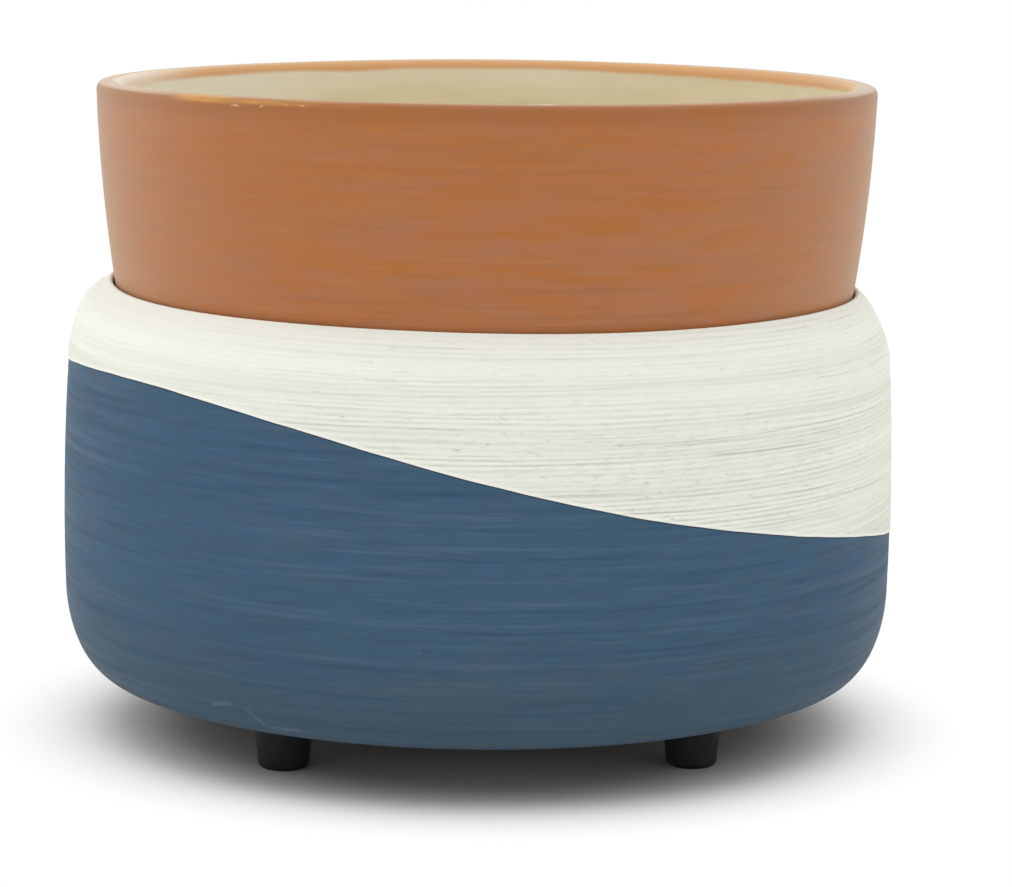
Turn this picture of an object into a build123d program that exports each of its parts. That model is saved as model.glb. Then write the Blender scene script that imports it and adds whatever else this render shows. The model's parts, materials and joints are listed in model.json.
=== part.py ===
from build123d import *
import math
import os

# Wax melt warmer, in millimetres. The origin is on the floor under the middle of the base,
# +Z is up, and the side seen from the front faces -Y. Heights ending in _z are above the floor.

# Cuts run past the solid they cut by this much
overrun = 1.0

# Base shell, a squat ceramic pot that is open at the top and the bottom
stand_off = 9.9
body_radius = 70.0
shell_height = 65.77
foot_curve_width = 8.0
foot_curve_height = 15.6
foot_curve_turn_deg = 87.0
shoulder_drop = 12.2
wall_lean = 0.76
shoulder_width = 7.1
lip_edge = 0.5
shell_wall = 4.7
ledge_width = 13.9
cavity_top_round = 8.0
cavity_foot_inset = 6.8
cavity_foot_height = 10.0
shelf_width = 11.3
cover_shelf = 3.0

# Dish, which stands on the hot plate inside the well
dish_height = 37.96
dish_nesting = 4.17
dish_side_gap = 1.4
dish_flare = 3.54
dish_bow = 0.6
dish_wall = 4.5
dish_floor = 5.0
dish_lip_height = 1.8
dish_foot_round = 3.0
dish_bowl_round = 9.0
foot_ring_width = 10.7
foot_ring_height = 0.6

# Hot plate with a threaded boss in the middle
plate_thickness = 1.5
plate_side_gap = 1.4
plate_edge = 0.5
boss_radius = 4.5
boss_seat_gap = 0.2
boss_roof = 0.5
gasket_thickness = 1.0
gasket_side_gap = 0.5

# Heater between two mica discs, backed by a fibre pad and a steel plate
heater_side_gap = 5.0
mica_thickness = 0.5
foil_thickness = 0.3
pad_thickness = 2.0
clamp_thickness = 0.8
clamp_overhang = 1.0
boss_clearance = 0.5
track_width = 2.2
track_outer_margin = 5.5
track_inner_margin = 6.2
track_turns = 8
track_slot = 5.0
track_pad_radius = 2.3

# The heater's two connection posts
post_pitch = 8.0
post_radius = 1.25
post_head_radius = 2.0
post_head_gap = 0.15
post_tail = 0.8
post_nut_height = 2.0
post_nut_flats = 5.0
bush_wall = 1.15
bush_flange_width = 0.9
bush_flange_height = 1.0
ring_terminal_width = 1.75
ring_terminal_thickness = 0.6
barrel_wall = 0.4
barrel_length = 6.0

# Fastening down the middle: an M4 rod with nuts and washers
rod_radius = 2.0
rod_end_chamfer = 0.4
thread_clearance = 0.1
hole_clearance = 0.3
nut_height = 3.2
nut_flats = 7.0
nut_chamfer = 0.4
rod_tail = 0.8
washer_thickness = 0.8
washer_radius = 4.5
cover_washer_radius = 6.0
spring_height = 1.4
spring_radius = 6.0
bridge_thickness = 1.2
bridge_width = 18.0
bridge_reach = 4.0
bridge_flange = 5.0
bridge_flange_inset = 4.0

# Thermostat, a snap disc with two blade terminals
thermostat_bridge_gap = 7.05
thermostat_radius = 7.95
thermostat_cap_height = 4.0
thermostat_cap_skin = 0.6
thermostat_ear_thickness = 0.8
thermostat_ear_radius = 4.0
thermostat_hole_pitch = 23.8
thermostat_body_height = 6.0
blade_pitch = 8.6
blade_width = 6.3
blade_thickness = 0.8
blade_length = 7.0
blade_foot = 3.0
spade_wall = 0.6
spade_height = 8.0
spade_barrel = 4.0

# Thermal fuse in a woven sleeve, held by a clip with one foot
clip_bridge_gap = 1.0
fuse_radius = 2.0
fuse_length = 11.0
fuse_wire_radius = 0.5
sleeve_wall = 0.5
sleeve_length = 24.0
fuse_clearance = 0.15
clip_thickness = 0.6
clip_width = 8.0
clip_foot = 5.0
splice_length = 10.0
splice_wire_depth = 4.5

# Screws
sheet_screw_radius = 1.5
sheet_screw_head_radius = 2.7
sheet_screw_head_height = 1.6
clip_screw_radius = 1.25
clip_screw_head_radius = 2.2
clip_screw_head_height = 1.3
screw_tip = 0.7
drive_slot_share = 0.2
drive_depth_share = 0.5

# Bottom cover with its vents and bosses
cover_gap = 0.4
cover_thickness = 2.2
cover_edge = 0.6
cover_inset = 0.3
cover_rib_wall = 1.4
cover_rib_height = 3.0
cover_boss_radius = 4.0
cover_boss_height = 5.0
rod_boss_radius = 5.5
rod_boss_height = 2.5
vent_count = 12
vent_radius = 24.0
vent_length = 10.0
vent_width = 2.6
label_width = 24.0
label_depth = 12.0
label_corner = 2.0
label_thickness = 0.2

# Rubber feet, in a square
foot_inset = 6.9
foot_bottom_radius = 4.05
foot_middle_radius = 4.7
foot_top_radius = 5.0
foot_middle_z = 6.0
foot_edge = 0.9
foot_recess_gap = 0.4
foot_recess_depth = 5.0
foot_washer_thickness = 0.5
foot_screw_radius = 1.3
foot_screw_head_radius = 2.0
foot_screw_head_height = 1.2
foot_screw_bite = 6.0

# Terminal block on the bottom cover
block_width = 22.0
block_depth = 14.0
block_height = 11.0
block_rib_gap = 6.2
block_edge = 0.6
pole_pitch = 9.2
pole_height = 5.0
pole_wall = 0.9
pole_bore_radius = 1.5
pole_recess = 1.0
block_screw_pitch = 6.0
block_screw_radius = 1.0
block_screw_head_radius = 1.8
block_screw_head_height = 1.5
mount_screw_well = 3.0
mount_screw_skin = 0.8

# Insulated leads
lead_radius = 0.9
lead_stub = 10.0
lead_insertion = 3.0
bend_run_share = 0.45
thermostat_fuse_shares = [(0.28, 0.05, 0.32), (0.45, -0.17, 0.62), (0.52, -0.28, 0.88)]
neutral_shares = [(0.52, -0.47, 0.86), (0.70, -0.15, 0.56), (0.56, 0.18, 0.26), (0.27, 0.28, 0.12)]

# Cord inlet through the rear of the shell
inlet_height = 17.1
inlet_bore_radius = 3.25
inlet_neck_wall = 1.45
inlet_flange_lip = 2.7
inlet_flange_thickness = 1.6
inlet_seat_depth = 2.0
inlet_edge = 0.4
inlet_lock_lip = 1.5
inlet_lock_thickness = 1.5
inlet_lock_inset = 1.3

# Radii that follow
lip_wall_radius = body_radius - wall_lean
cavity_radius = body_radius - shell_wall
well_radius = body_radius - shoulder_width
ledge_radius = well_radius - ledge_width
bottom_opening_radius = cavity_radius - shelf_width
cover_radius = bottom_opening_radius + cover_shelf
dish_foot_radius = well_radius - dish_side_gap
dish_rim_radius = dish_foot_radius + dish_flare
plate_radius = well_radius - plate_side_gap
heater_radius = ledge_radius - heater_side_gap
clamp_radius = heater_radius + clamp_overhang
thread_bore = rod_radius + thread_clearance
heater_bore = boss_radius + boss_clearance
track_outer_radius = heater_radius - track_outer_margin
track_inner_radius = heater_bore + track_inner_margin
bush_radius = post_radius + thread_clearance + bush_wall
bush_hole = bush_radius + thread_clearance
barrel_bore = lead_radius + thread_clearance
barrel_radius = barrel_bore + barrel_wall
pole_radius = pole_bore_radius + pole_wall
foot_circle_radius = bottom_opening_radius - foot_inset
foot_recess_radius = foot_screw_head_radius + foot_recess_gap
cover_rib_radius = bottom_opening_radius - cover_gap
inlet_neck_radius = inlet_bore_radius + inlet_neck_wall
inlet_flange_radius = inlet_neck_radius + inlet_flange_lip
inlet_lock_radius = inlet_neck_radius + inlet_lock_lip
clip_reach = fuse_radius + fuse_clearance + sleeve_wall + thread_clearance + clip_thickness

# Heights that follow, from the floor up
shell_bottom_z = stand_off
cover_bottom_z = shell_bottom_z + cover_inset
cover_top_z = cover_bottom_z + cover_thickness
shelf_top_z = cover_top_z + cover_shelf
foot_curve_top_z = shell_bottom_z + foot_curve_height
lip_z = shell_bottom_z + shell_height
plate_top_z = lip_z - dish_nesting
plate_bottom_z = plate_top_z - plate_thickness
ledge_top_z = plate_bottom_z - gasket_thickness
foil_top_z = plate_bottom_z - mica_thickness
foil_bottom_z = foil_top_z - foil_thickness
pad_top_z = foil_bottom_z - mica_thickness
pad_bottom_z = pad_top_z - pad_thickness
boss_bottom_z = pad_bottom_z + boss_seat_gap
clamp_bottom_z = pad_bottom_z - clamp_thickness
bridge_top_z = clamp_bottom_z - spring_height
bridge_bottom_z = bridge_top_z - bridge_thickness
bush_bottom_z = clamp_bottom_z - bush_flange_height
terminal_bottom_z = bush_bottom_z - ring_terminal_thickness
post_nut_bottom_z = terminal_bottom_z - post_nut_height
cap_bottom_z = clamp_bottom_z - thermostat_cap_height
ear_bottom_z = clamp_bottom_z - thermostat_ear_thickness
blade_top_z = cap_bottom_z - thermostat_body_height
spade_top_z = blade_top_z - blade_thickness - thread_clearance
spade_bottom_z = spade_top_z - spade_height
spade_mouth_z = spade_bottom_z - spade_barrel
dish_rim_z = plate_top_z + dish_height
inlet_z = shell_bottom_z + inlet_height

# Places that follow
post_y = -math.sqrt(track_outer_radius**2 - post_pitch**2)
posts = [(-post_pitch, post_y), (0, post_y)]
thermostat_y = bridge_width / 2 + thermostat_bridge_gap + thermostat_radius
thermostat_screw_places = [(side * thermostat_hole_pitch / 2, thermostat_y) for side in (-1, 1)]
fuse_y = -(bridge_width / 2 + clip_bridge_gap + clip_foot + clip_reach)
clip_screw_places = [(0, fuse_y + clip_reach + clip_foot / 2)]
foot_offset = foot_circle_radius / math.sqrt(2)
feet = {
    "foot_front_left": (-foot_offset, -foot_offset),
    "foot_front_right": (foot_offset, -foot_offset),
    "foot_rear_left": (-foot_offset, foot_offset),
    "foot_rear_right": (foot_offset, foot_offset),
}
foot_screw_head_z = foot_recess_depth - foot_washer_thickness
foot_screw_tip_z = cover_bottom_z + foot_screw_bite
poles = [-pole_pitch / 2, pole_pitch / 2]
pole_z = cover_top_z + pole_height
block_front_y = cover_rib_radius - cover_rib_wall - block_rib_gap - block_depth
block_middle_y = block_front_y + block_depth / 2
block_screw_rows = [block_middle_y + side * block_screw_pitch / 2 for side in (-1, 1)]
block_top_z = cover_top_z + block_height
block_seat_z = block_top_z - mount_screw_well
mount_screw_tip_z = cover_bottom_z + mount_screw_skin
label_y = -(vent_radius + vent_length / 2 + cover_radius - cover_gap) / 2
splice_start = sleeve_length / 2 + thread_clearance
splice_end = splice_start + splice_length
block_entry_y = block_front_y + pole_recess + lead_insertion
fuse_z = clamp_bottom_z - thread_clearance - sleeve_wall - fuse_clearance - fuse_radius
inlet_seat_y = body_radius - inlet_seat_depth
inlet_lock_y = cavity_radius - inlet_lock_inset


def outline_face(*lines):
    """The flat face inside a closed outline."""
    return make_face(Curve() + list(lines))


def rounded(face, corner, radius):
    """Rounds the corner of a face that lies nearest to a point."""
    return fillet(face.vertices().sort_by_distance(corner)[0], radius)


def disc(radius, bottom, top, x=0, y=0):
    """An upright cylinder between two heights."""
    return Pos(x, y, bottom) * extrude(Circle(radius), amount=top - bottom)


def ring(radius, bore, bottom, top):
    """An upright tube between two heights."""
    return Pos(0, 0, bottom) * extrude(Circle(radius) - Circle(bore), amount=top - bottom)


def box(low, high):
    """A block between two opposite corners."""
    size = [b - a for a, b in zip(low, high)]
    middle = [(a + b) / 2 for a, b in zip(low, high)]
    return Pos(*middle) * Box(*size)


def drill(solid, radius, places):
    """Bores upright holes right through a solid."""
    bounds = solid.bounding_box()
    for x, y in places:
        solid = solid - disc(radius, bounds.min.Z - overrun, bounds.max.Z + overrun, x, y)
    return solid


def hex_nut(flats, bore, bottom, height):
    """A hexagon nut whose corners are turned off at both ends."""
    profile = RegularPolygon(flats / 2, 6, major_radius=False) - Circle(bore)
    nut = extrude(profile, amount=height)
    corner_radius = flats / math.sqrt(3)
    turning = disc(corner_radius, 0, height)
    turning = chamfer(turning.edges().filter_by(GeomType.CIRCLE), nut_chamfer)
    return Pos(0, 0, bottom) * (nut & turning)


def pan_screw(radius, head_radius, head_height, length):
    """A cross-slotted screw with its shank pointing up and the head's underside at the origin."""
    head = disc(head_radius, -head_height, 0)
    head = fillet(head.edges().group_by(Axis.Z)[0], head_height / 2)
    slot = head_radius * drive_slot_share
    depth = head_height * drive_depth_share
    for long_x, long_y in ((head_radius, slot), (slot, head_radius)):
        low = (-long_x / 2, -long_y / 2, -head_height - overrun)
        head -= box(low, (long_x / 2, long_y / 2, depth - head_height))
    return head + disc(radius, 0, length)


def at_places(solid, places, height):
    """Copies of a solid side by side at one height."""
    return Compound(children=[Pos(x, y, height) * solid for x, y in places])


def bend_radii(points):
    """The largest arc at each corner of a route that its two runs leave room for."""
    radii = []
    for before, corner, after in zip(points, points[1:], points[2:]):
        arriving = Vector(*corner) - Vector(*before)
        leaving = Vector(*after) - Vector(*corner)
        half_turn = math.radians(arriving.get_angle(leaving)) / 2
        radii.append(bend_run_share * min(arriving.length, leaving.length) / math.tan(half_turn))
    return radii


def lead(*points):
    """An insulated lead along straight runs joined by tangent arcs."""
    radii = bend_radii(points)
    path = FilletPolyline(*points, radius=radii)
    wire = sweep((path ^ 0) * Circle(lead_radius), path=path)
    by_volume = wire.volume / (math.pi * lead_radius**2)
    print("lead length", round(path.length, 2), "by volume", round(by_volume, 2))
    print("lead radii", [round(radius, 1) for radius in radii])
    return wire


def in_cavity(shares):
    """Points inside the shell, from shares of the cavity's radius and of its height under the bridge."""
    height = bridge_bottom_z - cover_top_z
    return [(x * cavity_radius, y * cavity_radius, cover_top_z + z * height) for x, y, z in shares]


def base_shell():
    """The ceramic pot: foot curve, wall, shoulder and lip outside, a ledge and a shelf inside."""
    foot_curve_r = body_radius - foot_curve_width
    curve = EllipticalCenterArc(
        (foot_curve_r, foot_curve_top_z),
        foot_curve_width,
        foot_curve_height,
        start_angle=270,
        arc_size=foot_curve_turn_deg,
    )
    wall = TangentArc(curve @ 1, (lip_wall_radius, lip_z - shoulder_drop), tangent=curve % 1)
    shoulder = TangentArc(wall @ 1, (well_radius, lip_z), tangent=wall % 1)
    well = Polyline(
        (well_radius, lip_z),
        (well_radius, ledge_top_z),
        (ledge_radius, ledge_top_z),
        (ledge_radius, bridge_top_z),
        (cavity_radius - cavity_top_round, bridge_top_z),
    )
    cavity_top = RadiusArc(well @ 1, (cavity_radius, bridge_top_z - cavity_top_round), cavity_top_round)
    cavity_foot_z = shelf_top_z + cavity_foot_height
    cavity_wall = Line(cavity_top @ 1, (cavity_radius, cavity_foot_z))
    cavity_foot = EllipticalCenterArc(
        (cavity_radius - cavity_foot_inset, cavity_foot_z),
        cavity_foot_inset,
        cavity_foot_height,
        start_angle=270,
        arc_size=90,
    )
    shelf = Polyline(
        cavity_foot @ 0,
        (bottom_opening_radius, shelf_top_z),
        (bottom_opening_radius, cover_top_z),
        (cover_radius, cover_top_z),
        (cover_radius, shell_bottom_z),
        (foot_curve_r, shell_bottom_z),
    )
    face = outline_face(curve, wall, shoulder, well, cavity_top, cavity_wall, cavity_foot, shelf)
    face = rounded(face, (well_radius, lip_z), lip_edge)
    shell = revolve(Plane.XZ * face, Axis.Z)
    through_rear = Plane((0, 0, inlet_z), x_dir=(1, 0, 0), z_dir=(0, 1, 0))
    hole_start = cavity_radius - cavity_foot_inset
    hole = extrude(Circle(inlet_neck_radius + hole_clearance), amount=body_radius + overrun - hole_start)
    seat = extrude(Circle(inlet_flange_radius + hole_clearance), amount=inlet_seat_depth + overrun)
    lock_room = extrude(Circle(inlet_lock_radius + hole_clearance), amount=inlet_lock_y - hole_start)
    shell -= through_rear * Pos(0, 0, hole_start) * hole
    shell -= through_rear * Pos(0, 0, inlet_seat_y) * seat
    shell -= through_rear * Pos(0, 0, hole_start) * lock_room
    return shell


def dish():
    """The lift-off dish: a flared wall with a round lip, and a ring under its floor."""
    lip_z_low = dish_rim_z - dish_lip_height
    inner_rim_radius = dish_rim_radius - dish_wall
    inner_floor_radius = dish_foot_radius - dish_wall
    floor_z = plate_top_z + dish_floor
    ring_inner_radius = dish_foot_radius - dish_foot_round - foot_ring_width
    underside = Polyline(
        (0, floor_z),
        (0, plate_top_z + foot_ring_height),
        (ring_inner_radius, plate_top_z + foot_ring_height),
        (ring_inner_radius + foot_ring_height, plate_top_z),
        (dish_foot_radius, plate_top_z),
    )
    outside = SagittaArc((dish_foot_radius, plate_top_z), (dish_rim_radius, lip_z_low), -dish_bow)
    lip = EllipticalCenterArc(
        (dish_rim_radius - dish_wall / 2, lip_z_low),
        dish_wall / 2,
        dish_lip_height,
        start_angle=0,
        arc_size=180,
    )
    inside = SagittaArc((inner_rim_radius, lip_z_low), (inner_floor_radius, floor_z), dish_bow)
    floor = Line((inner_floor_radius, floor_z), (0, floor_z))
    face = outline_face(underside, outside, lip, inside, floor)
    face = rounded(face, (dish_foot_radius, plate_top_z), dish_foot_round)
    face = rounded(face, (inner_floor_radius, floor_z), dish_bowl_round)
    return revolve(Plane.XZ * face, Axis.Z)


def hot_plate():
    """The aluminium plate, with a blind threaded boss under its middle."""
    plate = disc(plate_radius, plate_bottom_z, plate_top_z)
    plate = fillet(plate.edges().group_by(Axis.Z)[-1], plate_edge)
    plate += disc(boss_radius, boss_bottom_z, plate_bottom_z)
    return plate - disc(thread_bore, boss_bottom_z - overrun, plate_bottom_z - boss_roof)


def plate_gasket():
    """The silicone ring between the hot plate and the ceramic ledge."""
    outer = plate_radius - gasket_side_gap
    return ring(outer, ledge_radius + gasket_side_gap, ledge_top_z, plate_bottom_z)


def mica_disc(bottom, top, post_hole):
    """A mica disc with a hole for the boss and one for each post."""
    return drill(ring(heater_radius, heater_bore, bottom, top), post_hole, posts)


def heating_foil():
    """The etched foil: rings cut open on one side and joined by turns, with a pad at each end."""
    pitch = (track_outer_radius - track_inner_radius) / (track_turns - 1)
    radii = [track_outer_radius - turn * pitch for turn in range(track_turns)]
    half = track_width / 2
    track = Sketch()
    for radius in radii:
        track += Circle(radius + half) - Circle(radius - half)
    slot_length = track_outer_radius + track_width
    track -= Pos(0, -slot_length / 2) * Rectangle(2 * track_slot, slot_length)
    ends = [-math.sqrt(radius**2 - track_slot**2) for radius in radii]
    side = 1
    for outer_y, inner_y in zip(ends, ends[1:]):
        middle = Pos(side * (track_slot + half), (outer_y + inner_y) / 2)
        track += middle * Rectangle(track_width, inner_y - outer_y)
        side = -side
    track += Pos((half - track_slot) / 2, ends[-1]) * Rectangle(track_slot + half, track_width)
    track += Pos(0, (ends[-1] + post_y) / 2) * Rectangle(track_width, ends[-1] - post_y)
    for x, y in posts:
        track += Pos(x, y) * Circle(track_pad_radius)
    for x, y in posts:
        track -= Pos(x, y) * Circle(post_radius + thread_clearance)
    return Pos(0, 0, foil_bottom_z) * extrude(track, amount=foil_thickness)


def insulation_pad():
    """The fibre pad, with room for the bushes and for the tips of the screws below it."""
    pad = ring(heater_radius, heater_bore, pad_bottom_z, pad_top_z)
    pad = drill(pad, bush_hole, posts)
    pad = drill(pad, sheet_screw_radius + hole_clearance, thermostat_screw_places)
    return drill(pad, clip_screw_radius + hole_clearance, clip_screw_places)


def clamp_plate():
    """The steel plate that backs the heater and carries the thermostat and the fuse."""
    plate = ring(clamp_radius, thread_bore + hole_clearance, clamp_bottom_z, pad_bottom_z)
    plate = drill(plate, bush_hole, posts)
    plate = drill(plate, sheet_screw_radius + thread_clearance, thermostat_screw_places)
    return drill(plate, clip_screw_radius + thread_clearance, clip_screw_places)


def heater_posts():
    """Two threaded posts, riveted against the foil from above."""
    post = disc(post_head_radius, foil_top_z, plate_bottom_z - post_head_gap)
    post += disc(post_radius, post_nut_bottom_z - post_tail, foil_top_z)
    return at_places(post, posts, 0)


def post_bushes():
    """Ceramic bushes that keep the posts off the steel plate."""
    bore = post_radius + thread_clearance
    bush = ring(bush_radius, bore, clamp_bottom_z, pad_top_z)
    bush += ring(bush_radius + bush_flange_width, bore, bush_bottom_z, clamp_bottom_z)
    return at_places(bush, posts, 0)


def ring_terminal(x, side):
    """A crimped ring terminal whose barrel points along X."""
    bore = post_radius + thread_clearance
    outer = bore + ring_terminal_width
    tongue = disc(outer, terminal_bottom_z, bush_bottom_z)
    low = (0, -barrel_bore, terminal_bottom_z)
    tongue += box(low, (outer + barrel_length / 2, barrel_bore, bush_bottom_z))
    along_x = Plane((outer, 0, bush_bottom_z - barrel_radius), x_dir=(0, 1, 0), z_dir=(1, 0, 0))
    terminal = tongue + along_x * extrude(Circle(barrel_radius), amount=barrel_length)
    terminal -= disc(bore, terminal_bottom_z - overrun, bush_bottom_z + overrun)
    terminal -= along_x * Pos(0, 0, barrel_wall) * extrude(Circle(barrel_bore), amount=barrel_length)
    if side < 0:
        terminal = Rot(0, 0, 180) * terminal
    return Pos(x, post_y, 0) * terminal


def ring_terminals():
    """The ring terminals on the two posts, pointing away from each other."""
    return Compound(children=[ring_terminal(x, side) for (x, _), side in zip(posts, (-1, 1))])


def post_nuts():
    """The nuts that hold the ring terminals against their bushes."""
    nut = hex_nut(post_nut_flats, post_radius + thread_clearance, post_nut_bottom_z, post_nut_height)
    return at_places(nut, posts, 0)


def retaining_bridge():
    """A pressed steel strap across the underside of the ledge, with stiffening flanges."""
    half_length = ledge_radius + bridge_reach
    strap = SlotOverall(2 * half_length, bridge_width)
    strap = extrude(strap, amount=bridge_thickness)
    flange_half = half_length - bridge_width / 2 - bridge_flange_inset
    for side in (-1, 1):
        outer_y = side * bridge_width / 2
        inner_y = outer_y - side * bridge_thickness
        low = (-flange_half, min(outer_y, inner_y), -bridge_flange)
        strap += box(low, (flange_half, max(outer_y, inner_y), bridge_thickness))
    return drill(Pos(0, 0, bridge_bottom_z) * strap, thread_bore + hole_clearance, [(0, 0)])


def centre_rod():
    """The threaded rod from the hot plate's boss to the nut under the cover."""
    bottom = cover_bottom_z - washer_thickness - nut_height - rod_tail
    rod = disc(rod_radius, bottom, plate_bottom_z - boss_roof - thread_clearance)
    return chamfer(rod.edges().filter_by(GeomType.CIRCLE), rod_end_chamfer)


def thermostat_cap():
    """The thermostat's aluminium cup, with a flange and two ears."""
    cup = disc(thermostat_radius, cap_bottom_z, clamp_bottom_z)
    room = disc(thermostat_radius - thermostat_cap_skin, cap_bottom_z - overrun, ear_bottom_z)
    ears = SlotCenterToCenter(thermostat_hole_pitch, 2 * thermostat_ear_radius)
    ears = Pos(0, 0, ear_bottom_z) * extrude(ears, amount=thermostat_ear_thickness)
    cap = Pos(0, thermostat_y, 0) * (cup - room + ears)
    return drill(cap, sheet_screw_radius + thread_clearance, thermostat_screw_places)


def thermostat_body():
    """The moulded body under the cap, with a spigot up inside it."""
    body = disc(thermostat_radius, blade_top_z, cap_bottom_z)
    spigot_radius = thermostat_radius - thermostat_cap_skin - thread_clearance
    body += disc(spigot_radius, cap_bottom_z, ear_bottom_z - thread_clearance)
    return Pos(0, thermostat_y, 0) * body


def thermostat_terminals():
    """Two blades that hang under the thermostat, each with a riveted foot."""
    half_x = blade_thickness / 2
    half_y = blade_width / 2
    blade = box((-half_x, -half_y, blade_top_z - blade_length), (half_x, half_y, blade_top_z))
    blade += box((-half_x, -half_y, blade_top_z - blade_thickness), (blade_foot, half_y, blade_top_z))
    left = Pos(-blade_pitch / 2, thermostat_y, 0) * blade
    right = Pos(blade_pitch / 2, thermostat_y, 0) * Rot(0, 0, 180) * blade
    return Compound(children=[left, right])


def spade_connectors():
    """Female spade connectors on the two blades, each with a barrel for its lead."""
    slot_x = blade_thickness / 2 + thread_clearance
    slot_y = blade_width / 2 + thread_clearance
    slot_bottom_z = blade_top_z - blade_length - thread_clearance
    half_x = slot_x + spade_wall
    half_y = slot_y + spade_wall
    spade = box((-half_x, -half_y, spade_bottom_z), (half_x, half_y, spade_top_z))
    spade -= box((-slot_x, -slot_y, slot_bottom_z), (slot_x, slot_y, spade_top_z + overrun))
    spade += disc(barrel_radius, spade_mouth_z, spade_bottom_z)
    spade -= disc(barrel_bore, spade_mouth_z - overrun, spade_bottom_z)
    places = [(side * blade_pitch / 2, thermostat_y) for side in (-1, 1)]
    return at_places(spade, places, 0)


def along_fuse(x):
    """A plane across the fuse's axis at a place along X."""
    return Plane((x, fuse_y, fuse_z), x_dir=(0, 1, 0), z_dir=(1, 0, 0))


def fuse_tube(outer, inner, start, end):
    """A tube about the fuse's axis."""
    profile = Circle(outer)
    if inner > 0:
        profile = profile - Circle(inner)
    return along_fuse(start) * extrude(profile, amount=end - start)


def thermal_fuse():
    """The fuse's body with a bare wire at each end."""
    wire_end = splice_start + splice_wire_depth
    body = fuse_tube(fuse_radius, 0, -fuse_length / 2, fuse_length / 2)
    return body + fuse_tube(fuse_wire_radius, 0, -wire_end, wire_end)


def fuse_sleeve():
    """The woven sleeve round the fuse."""
    inner = fuse_radius + fuse_clearance
    return fuse_tube(inner + sleeve_wall, inner, -sleeve_length / 2, sleeve_length / 2)


def fuse_clip():
    """A strap that hugs the sleeve from below, with a foot against the plate on the bridge's side."""
    inner = clip_reach - clip_thickness
    saddle = Circle(clip_reach) - Circle(inner)
    saddle -= Pos(0, clip_reach) * Rectangle(2 * clip_reach + overrun, 2 * clip_reach)
    leg_top = clamp_bottom_z - fuse_z
    for side in (-1, 1):
        saddle += Pos(side * (inner + clip_thickness / 2), leg_top / 2) * Rectangle(clip_thickness, leg_top)
    foot_width = clip_thickness + clip_foot
    foot_place = Pos(inner + foot_width / 2, leg_top - clip_thickness / 2)
    saddle += foot_place * Rectangle(foot_width, clip_thickness)
    clip = along_fuse(-clip_width / 2) * extrude(saddle, amount=clip_width)
    return drill(clip, clip_screw_radius + thread_clearance, clip_screw_places)


def fuse_splices():
    """Crimped sleeves that join the fuse's wires to the leads."""
    left = fuse_tube(barrel_radius, barrel_bore, -splice_end, -splice_start)
    right = fuse_tube(barrel_radius, barrel_bore, splice_start, splice_end)
    return Compound(children=[left, right])


def bottom_cover():
    """The moulded cover: a locating rib, bosses for the feet and the rod, and a ring of vents."""
    cover = disc(cover_radius - cover_gap, cover_bottom_z, cover_top_z)
    cover = chamfer(cover.edges().group_by(Axis.Z)[0], cover_edge)
    rib_bore = cover_rib_radius - cover_rib_wall
    cover += ring(cover_rib_radius, rib_bore, cover_top_z, cover_top_z + cover_rib_height)
    for x, y in feet.values():
        cover += disc(cover_boss_radius, cover_top_z, cover_top_z + cover_boss_height, x, y)
    cover += disc(rod_boss_radius, cover_top_z, cover_top_z + rod_boss_height)
    cover = drill(cover, thread_bore + hole_clearance, [(0, 0)])
    pilot_radius = foot_screw_radius + thread_clearance
    for x, y in feet.values():
        cover -= disc(pilot_radius, cover_bottom_z - overrun, foot_screw_tip_z + screw_tip, x, y)
    pilot_radius = sheet_screw_radius + thread_clearance
    pilot_bottom_z = mount_screw_tip_z - thread_clearance
    cover -= disc(pilot_radius, pilot_bottom_z, cover_top_z + overrun, 0, block_middle_y)
    vent = extrude(SlotOverall(vent_length, vent_width), amount=cover_thickness + 2 * overrun)
    vent = Pos(vent_radius, 0, cover_bottom_z - overrun) * vent
    for turn in range(vent_count):
        cover -= Rot(0, 0, turn * 360 / vent_count) * vent
    return cover


def foot():
    """A tapered rubber foot, with a recess from below for its screw."""
    face = outline_face(
        Polyline(
            (foot_recess_radius, 0),
            (foot_bottom_radius, 0),
            (foot_middle_radius, foot_middle_z),
            (foot_top_radius, cover_bottom_z),
            (foot_screw_radius + thread_clearance, cover_bottom_z),
            (foot_screw_radius + thread_clearance, foot_recess_depth),
            (foot_recess_radius, foot_recess_depth),
            (foot_recess_radius, 0),
        )
    )
    face = rounded(face, (foot_bottom_radius, 0), foot_edge)
    return revolve(Plane.XZ * face, Axis.Z)


def terminal_block():
    """The moulded two-pole block on the cover, with a screw through its middle."""
    low = (-block_width / 2, block_front_y, cover_top_z)
    block = box(low, (block_width / 2, block_front_y + block_depth, block_top_z))
    block = chamfer(block.edges().filter_by(Axis.Z) + block.edges().group_by(Axis.Z)[-1], block_edge)
    along_y = Plane((0, block_front_y - overrun, pole_z), x_dir=(1, 0, 0), z_dir=(0, 1, 0))
    for x in poles:
        bore = extrude(Circle(pole_radius + thread_clearance), amount=block_depth + 2 * overrun)
        block -= along_y * Pos(x, 0, 0) * bore
        for y in block_screw_rows:
            block -= disc(block_screw_head_radius + hole_clearance, pole_z, block_top_z + overrun, x, y)
    block -= disc(sheet_screw_radius + hole_clearance, cover_top_z - overrun, block_seat_z, 0, block_middle_y)
    well = sheet_screw_head_radius + hole_clearance
    return block - disc(well, block_seat_z, block_top_z + overrun, 0, block_middle_y)


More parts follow.
